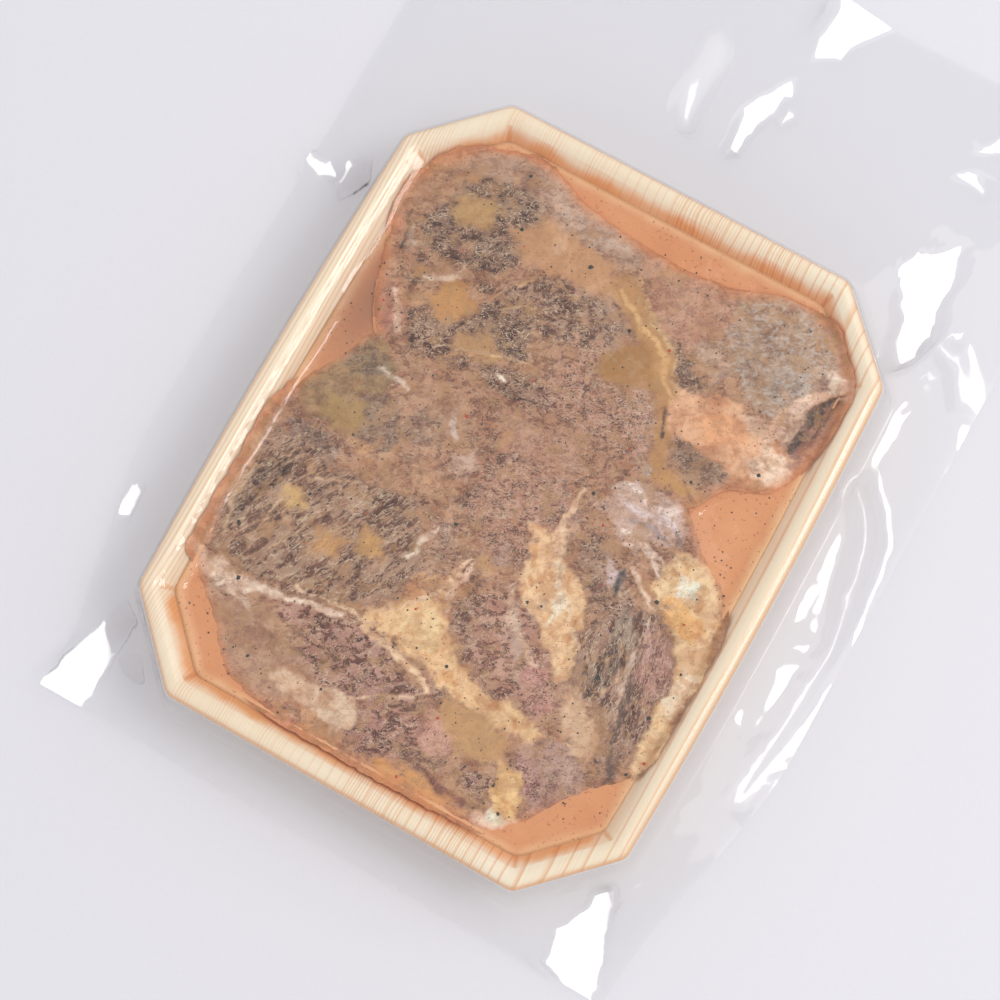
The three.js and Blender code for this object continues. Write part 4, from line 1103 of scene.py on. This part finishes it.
# The film's height over tray and contents: it bridges hollows as a taut sheet does, and leaves the
# rim on the rim's own slope.
cell, fieldX, fieldY = 0.8, 84, 104  # mm, the field's step and how far it reaches each way
gridX, gridY = np.meshgrid(np.arange(-fieldX, fieldX + 0.1, cell),
                           np.arange(-fieldY, fieldY + 0.1, cell), indexing="ij")
insetGrid = trayInset(gridX, gridY)
rimProfile = np.array([*trayInside, *trayRim])[::-1]
under = np.interp(insetGrid, rimProfile[:, 0], rimProfile[:, 1], left=24.9)
under = np.maximum(under, np.where(insetGrid > 8.8, contentsTop(gridX, gridY), 0))
bridged = -dilate(-dilate(under, 9 / cell), 9 / cell)
tent = np.interp(insetGrid, [3.2, 4.2, 7.4, 10, 13], [28.6, 28.35, 27.07, 24.8, 21])
bridged = np.maximum(bridged, np.where(insetGrid > 3.2, tent, 0))
filmField = np.maximum(blur(bridged, 3), under) + pouch["filmGap"]
filmField = np.maximum(blur(filmField, 2), under + 0.15)


def filmOverTray(x, y):  # from the tray's middle
    u, v = (x + fieldX) / cell, (y + fieldY) / cell
    i = np.clip(np.floor(u).astype(int), 0, filmField.shape[0] - 2)
    j = np.clip(np.floor(v).astype(int), 0, filmField.shape[1] - 2)
    fu, fv = np.clip(u - i, 0, 1), np.clip(v - j, 0, 1)
    near = mix(filmField[i, j], filmField[i + 1, j], fu)
    far = mix(filmField[i, j + 1], filmField[i + 1, j + 1], fu)
    return mix(near, far, fv)


def ridges(x, y, size, seed):  # sharp creases between flat facets
    return 1 - 2 * abs(softNoise(x, y, size, seed))


def pouchEdgeRing(ring):
    cornerX = tray["width"] / 2 - tray["chamfer"] / 2
    cornerY = tray["length"] / 2 - tray["chamfer"] / 2
    x, y = ring[:, 0], ring[:, 1] - trayMiddleY

    def halfWidth(share):
        return mix(pouch["shortEndWidth"] / 2, pouch["width"] / 2, smooth(-1, -0.4, share))

    onSide = abs(x) - cornerX > abs(y) - cornerY
    sideX, sideY = np.sign(x) * halfWidth(y / cornerY), y / cornerY * pouch["length"] / 2
    endX, endY = x / cornerX * halfWidth(np.sign(y)), np.sign(y) * pouch["length"] / 2
    return np.column_stack([np.where(onSide, sideX, endX), np.where(onSide, sideY, endY)])


# Facets of the loose film that mirror the lamp, as outlines in mm from the pouch's middle.
mirrorFacets = [
    [(77, 52), (74, 66), (69, 74), (65, 84), (68, 84), (68, 90), (73, 91), (80, 96), (83, 88),
     (82, 78), (86, 69), (82, 58)],
    [(12, 129), (10, 136), (11, 145), (10, 151), (19, 155), (28, 151), (25, 146), (22, 143),
     (21, 137), (20, 132)],
    [(10, 119), (13, 119), (13, 113), (10, 109), (7, 112)],
    [(11, 108), (13, 112), (17, 112), (16, 108), (14, 105)],
    [(3, 89), (3, 95), (2, 104), (4, 111), (8, 114), (11, 110), (9, 103), (7, 97), (7, 91)],
    [(66, 117), (70, 120), (78, 118), (79, 115), (73, 115)],
    [(66, 129), (71, 129), (74, 136), (77, 130), (72, 126)],
    [(76, -114), (82, -122), (84, -130), (87, -139), (90, -151), (84, -151), (73, -147),
     (72, -137), (76, -128)],
    [(-84, -118), (-80, -121), (-80, -129), (-80, -137), (-80, -151), (-94, -152), (-92, -144),
     (-90, -135), (-88, -127)],
    [(-77, -132), (-73, -130), (-69, -135), (-74, -134)],
    [(-101, -84), (-99, -86), (-98, -95), (-101, -96), (-102, -91)],
    [(-98, 29), (-95, 32), (-90, 33), (-88, 29), (-92, 21), (-96, 26)],
    [(-112, 29), (-100, 29), (-97, 28), (-97, 25), (-105, 24), (-112, 25)],
]
# Softer ones, where the film is rubbed and a little dull.
dullFacets = [
    [(-21, 120), (-17, 125), (-12, 120), (-9, 112), (-9, 101), (-9, 90), (-13, 89), (-16, 94),
     (-17, 103), (-20, 112)],
    [(87, 66), (95, 68), (107, 61), (107, 54), (101, 53), (95, 61)],
    [(84, 17), (88, 18), (93, 13), (98, 6), (101, -5), (101, -14), (98, -14), (96, -5), (94, 4),
     (90, 11)],
    [(98, -13), (101, -28), (100, -46), (98, -65), (98, -82), (100, -82), (102, -65), (103, -46),
     (104, -28), (101, -13)],
]


def mirrorSlope(x, y):  # how a flat facet there rises along x and y to show the lamp to the eye
    toEye, toLamp = eye - (x, y, 4), lampPlace - (x, y, 4)
    half = toEye / np.linalg.norm(toEye) + toLamp / np.linalg.norm(toLamp)
    return -half[0] / half[2], -half[1] / half[2]


def looseWrinkles(x, y, height, share):  # the loose film's height with its wrinkles, in mm
    soft = 0.7 * softNoise(x, y, 38, 81) + 0.2 * softNoise(x, y, 17, 82)
    sharp = 0.22 * ridges(x, y, 26, 83) + 0.05 * ridges(x, y, 9, 84)
    height = height + (soft + sharp) * smooth(0, 0.25, share)
    for facet in (*mirrorFacets, *dullFacets):
        corners = np.array(facet, float)
        cx, cy = corners.mean(axis=0)
        slopeX, slopeY = mirrorSlope(cx, cy)
        if facet in dullFacets:  # turned a little past the lamp
            slopeX, slopeY = slopeX * 0.72, slopeY * 0.72
        rise = (corners - (cx, cy)) @ (slopeX, slopeY)
        ragged = 0.5 * softNoise(x, y, 5, 86) + 0.3 * softNoise(x, y, 2, 87)
        soft = 3 if facet in dullFacets else 0
        window = smooth(-1.7 - soft, -0.4 + soft, areaDepth(facet, x, y) + ragged)
        window = window * smooth(0, 0.05, share)
        plane = max(3, 1.2 - rise.min()) + slopeX * (x - cx) + slopeY * (y - cy)
        height = mix(height, plane, window)
    return height


def looseRings(side, half):  # from the seam to the pouch's edge, side 1 for the top sheet
    start = trayRing(-pouch["seamOutside"], half)
    end = pouchEdgeRing(trayRing(0, half))
    rings = []
    for share in np.linspace(0, 1, pouch["looseRings"]) ** 0.9:
        ring = mix(start, end, share)
        reach = np.hypot(*(ring - start).T)
        settled = smooth(0, pouch["settledReach"], reach)
        edgeHeight = mix(pouch["looseEdgeHeight"], pouch["settledHeight"], settled)
        height = mix(pouch["seamHeight"], edgeHeight, share ** 0.8)
        height = looseWrinkles(*ring.T, height, share)
        height = np.maximum(height, 0.75 + 0.2 * softNoise(*ring.T, 20, 85))
        rings.append(np.column_stack([ring, np.maximum(height + side * pouch["sheetGap"], 0.15)]))
    return rings


def makeTopFilm():
    half = pouch["half"]
    rimTop = trayRing(3.2, half)
    profile = smoothLine([(3.2, 28.9), (1.0, 28.5), (-0.3, 26.9), (-0.6, 25), (-1.2, 21),
                          (-2.4, 15), (-4.5, 9.5)], 4)  # inset and height, down from the rim
    rings = []
    for inset, height in profile[:-1]:
        ring = trayRing(inset, half)
        above = filmOverTray(ring[:, 0], ring[:, 1] - trayMiddleY)
        lifted = np.maximum(height, above + 0.05) if inset > 1 else np.full(len(ring), height)
        rings.append(np.column_stack([ring, lifted]))
    rings += looseRings(1, half)
    count = len(rimTop)
    free = len(rings) * count
    inner, gridFaces = gridInside(rings[0][:, :2], 0, free)
    x, y = inner[:, 0], inner[:, 1] - trayMiddleY
    crinkled = filmOverTray(x, y) + 0.10 * ridges(x, y, 9, 91) + 0.05 * ridges(x, y, 3.4, 92) + 0.1
    inner = np.column_stack([inner, crinkled])
    points = np.vstack([*rings, inner])
    faces = [*gridFaces.tolist(), *ringFaces(len(rings), count).tolist()]
    x, y = points[:, 0], points[:, 1]
    rubbed = np.zeros(len(points))
    for facet in dullFacets:
        rubbed = np.maximum(rubbed, smooth(-3, 0, areaDepth(facet, x, y)))
    cling = smooth(11, 14, trayInset(x, y - trayMiddleY))
    makePiece("pouch_film_top", points, faces, filmMaterial, ["pouch_top_film"],
              {"rubbed": rubbed, "cling": 0.8 * cling})


def makeBottomFilm():
    half = pouch["half"]
    profile = [(16.9, 0.2), (14.4, 0.7), (10, 2.6), (5, 5.2), (0, 7.4)]
    rings = [np.column_stack([ring, np.full(len(ring), height)])
             for ring, height in ((trayRing(inset, half), height) for inset, height in profile)]
    rings += looseRings(-1, half)
    count = len(rings[0])
    points = np.vstack([*rings, [(0, trayMiddleY, 0.2)]])
    around = np.arange(count)
    fan = fanFaces(len(points) - 1, around, np.roll(around, -1))
    faces = [*ringFaces(len(rings), count).tolist(), *fan.tolist()]
    makePiece("pouch_film_bottom", points, faces, filmMaterial,
              ["pouch_bottom_film"])


makeTopFilm()
makeBottomFilm()


# Matt white paper under the pack, a touch cool.
def paperFloor():
    material, tree = newMaterial("paperSweep")
    colour = blend(tree, noise(tree, objectPlace(tree), 900.0, 3.0), "#E9E7EC", "#ECEBEF")
    useSurface(tree, "BsdfPrincipled", {"Base Color": colour, "Roughness": 0.85, "IOR": 1.45})
    return material


def makeFloor():
    mesh = bpy.data.meshes.new("floor")
    reach, below = studio["floorReach"], -studio["floorBelow"]
    corners = [(-reach, -reach), (reach, -reach), (reach, reach), (-reach, reach)]
    mesh.from_pydata([(x, y, below) for x, y in corners], [], [(0, 1, 2, 3)])
    mesh.materials.append(paperFloor())
    floor = bpy.data.objects.new("floor", mesh)
    bpy.context.scene.collection.objects.link(floor)


studio = {
    "lampDistance": 1.3,  # metres, as the sizes
    "lampSize": 0.34,
    "lampPower": 2.5,
    "softboxWay": (0.46, 0.30, 0.84),
    "softboxSize": 1.1,
    "softboxPower": 3.0,
    "aimedAt": (0, -0.03, 0.02),
    "skyColour": "#F3F4F8",
    "skyStrength": 0.83,
    "floorReach": 3,
    "floorBelow": 0.0002,
}


def areaLight(name, direction, size, power, colour):
    light = bpy.data.lights.new(name, "AREA")
    light.shape = "RECTANGLE"
    light.size = light.size_y = size
    light.energy = power
    light.color = hexToLinear(colour)
    lamp = bpy.data.objects.new(name, light)
    away = np.array(direction, float)
    away /= np.linalg.norm(away)
    side = np.cross((0, 0, 1), away)
    side /= np.linalg.norm(side)
    rows = np.column_stack([side, np.cross(away, side), away])
    place = Matrix.Translation(np.array(studio["aimedAt"]) + away * studio["lampDistance"])
    lamp.matrix_world = place @ Matrix(rows.tolist()).to_4x4()
    bpy.context.scene.collection.objects.link(lamp)


def makeLights():
    areaLight("lampRight", lampWay, studio["lampSize"], studio["lampPower"], "#FFFDFA")
    areaLight("softboxRight", studio["softboxWay"], studio["softboxSize"], studio["softboxPower"],
              "#FFFCF8")
    world = bpy.data.worlds.new("studio")
    world.use_nodes = True
    sky = world.node_tree.nodes["Background"]
    sky.inputs[0].default_value = (*hexToLinear(studio["skyColour"]), 1)
    sky.inputs[1].default_value = studio["skyStrength"]
    bpy.context.scene.world = world


def makeCamera():
    data = bpy.data.cameras.new("camera")
    data.lens, data.sensor_width = 85, 36
    data.shift_x, data.shift_y = -0.01217, -0.01423
    data.clip_start, data.clip_end = 0.01, 20
    camera = bpy.data.objects.new("camera", data)
    right, up = (0.8708, 0.4905, -0.0338), (-0.4756, 0.8578, 0.1947)
    back = (0.1245, -0.1535, 0.9803)
    turned = Matrix([right, up, back]).transposed().to_4x4()
    camera.matrix_world = Matrix.Translation((eye * mm).tolist()) @ turned
    bpy.context.scene.collection.objects.link(camera)
    bpy.context.scene.camera = camera


makeFloor()
makeLights()
makeCamera()
bpy.context.scene.view_settings.view_transform = "Standard"
print("stage, light and camera set")
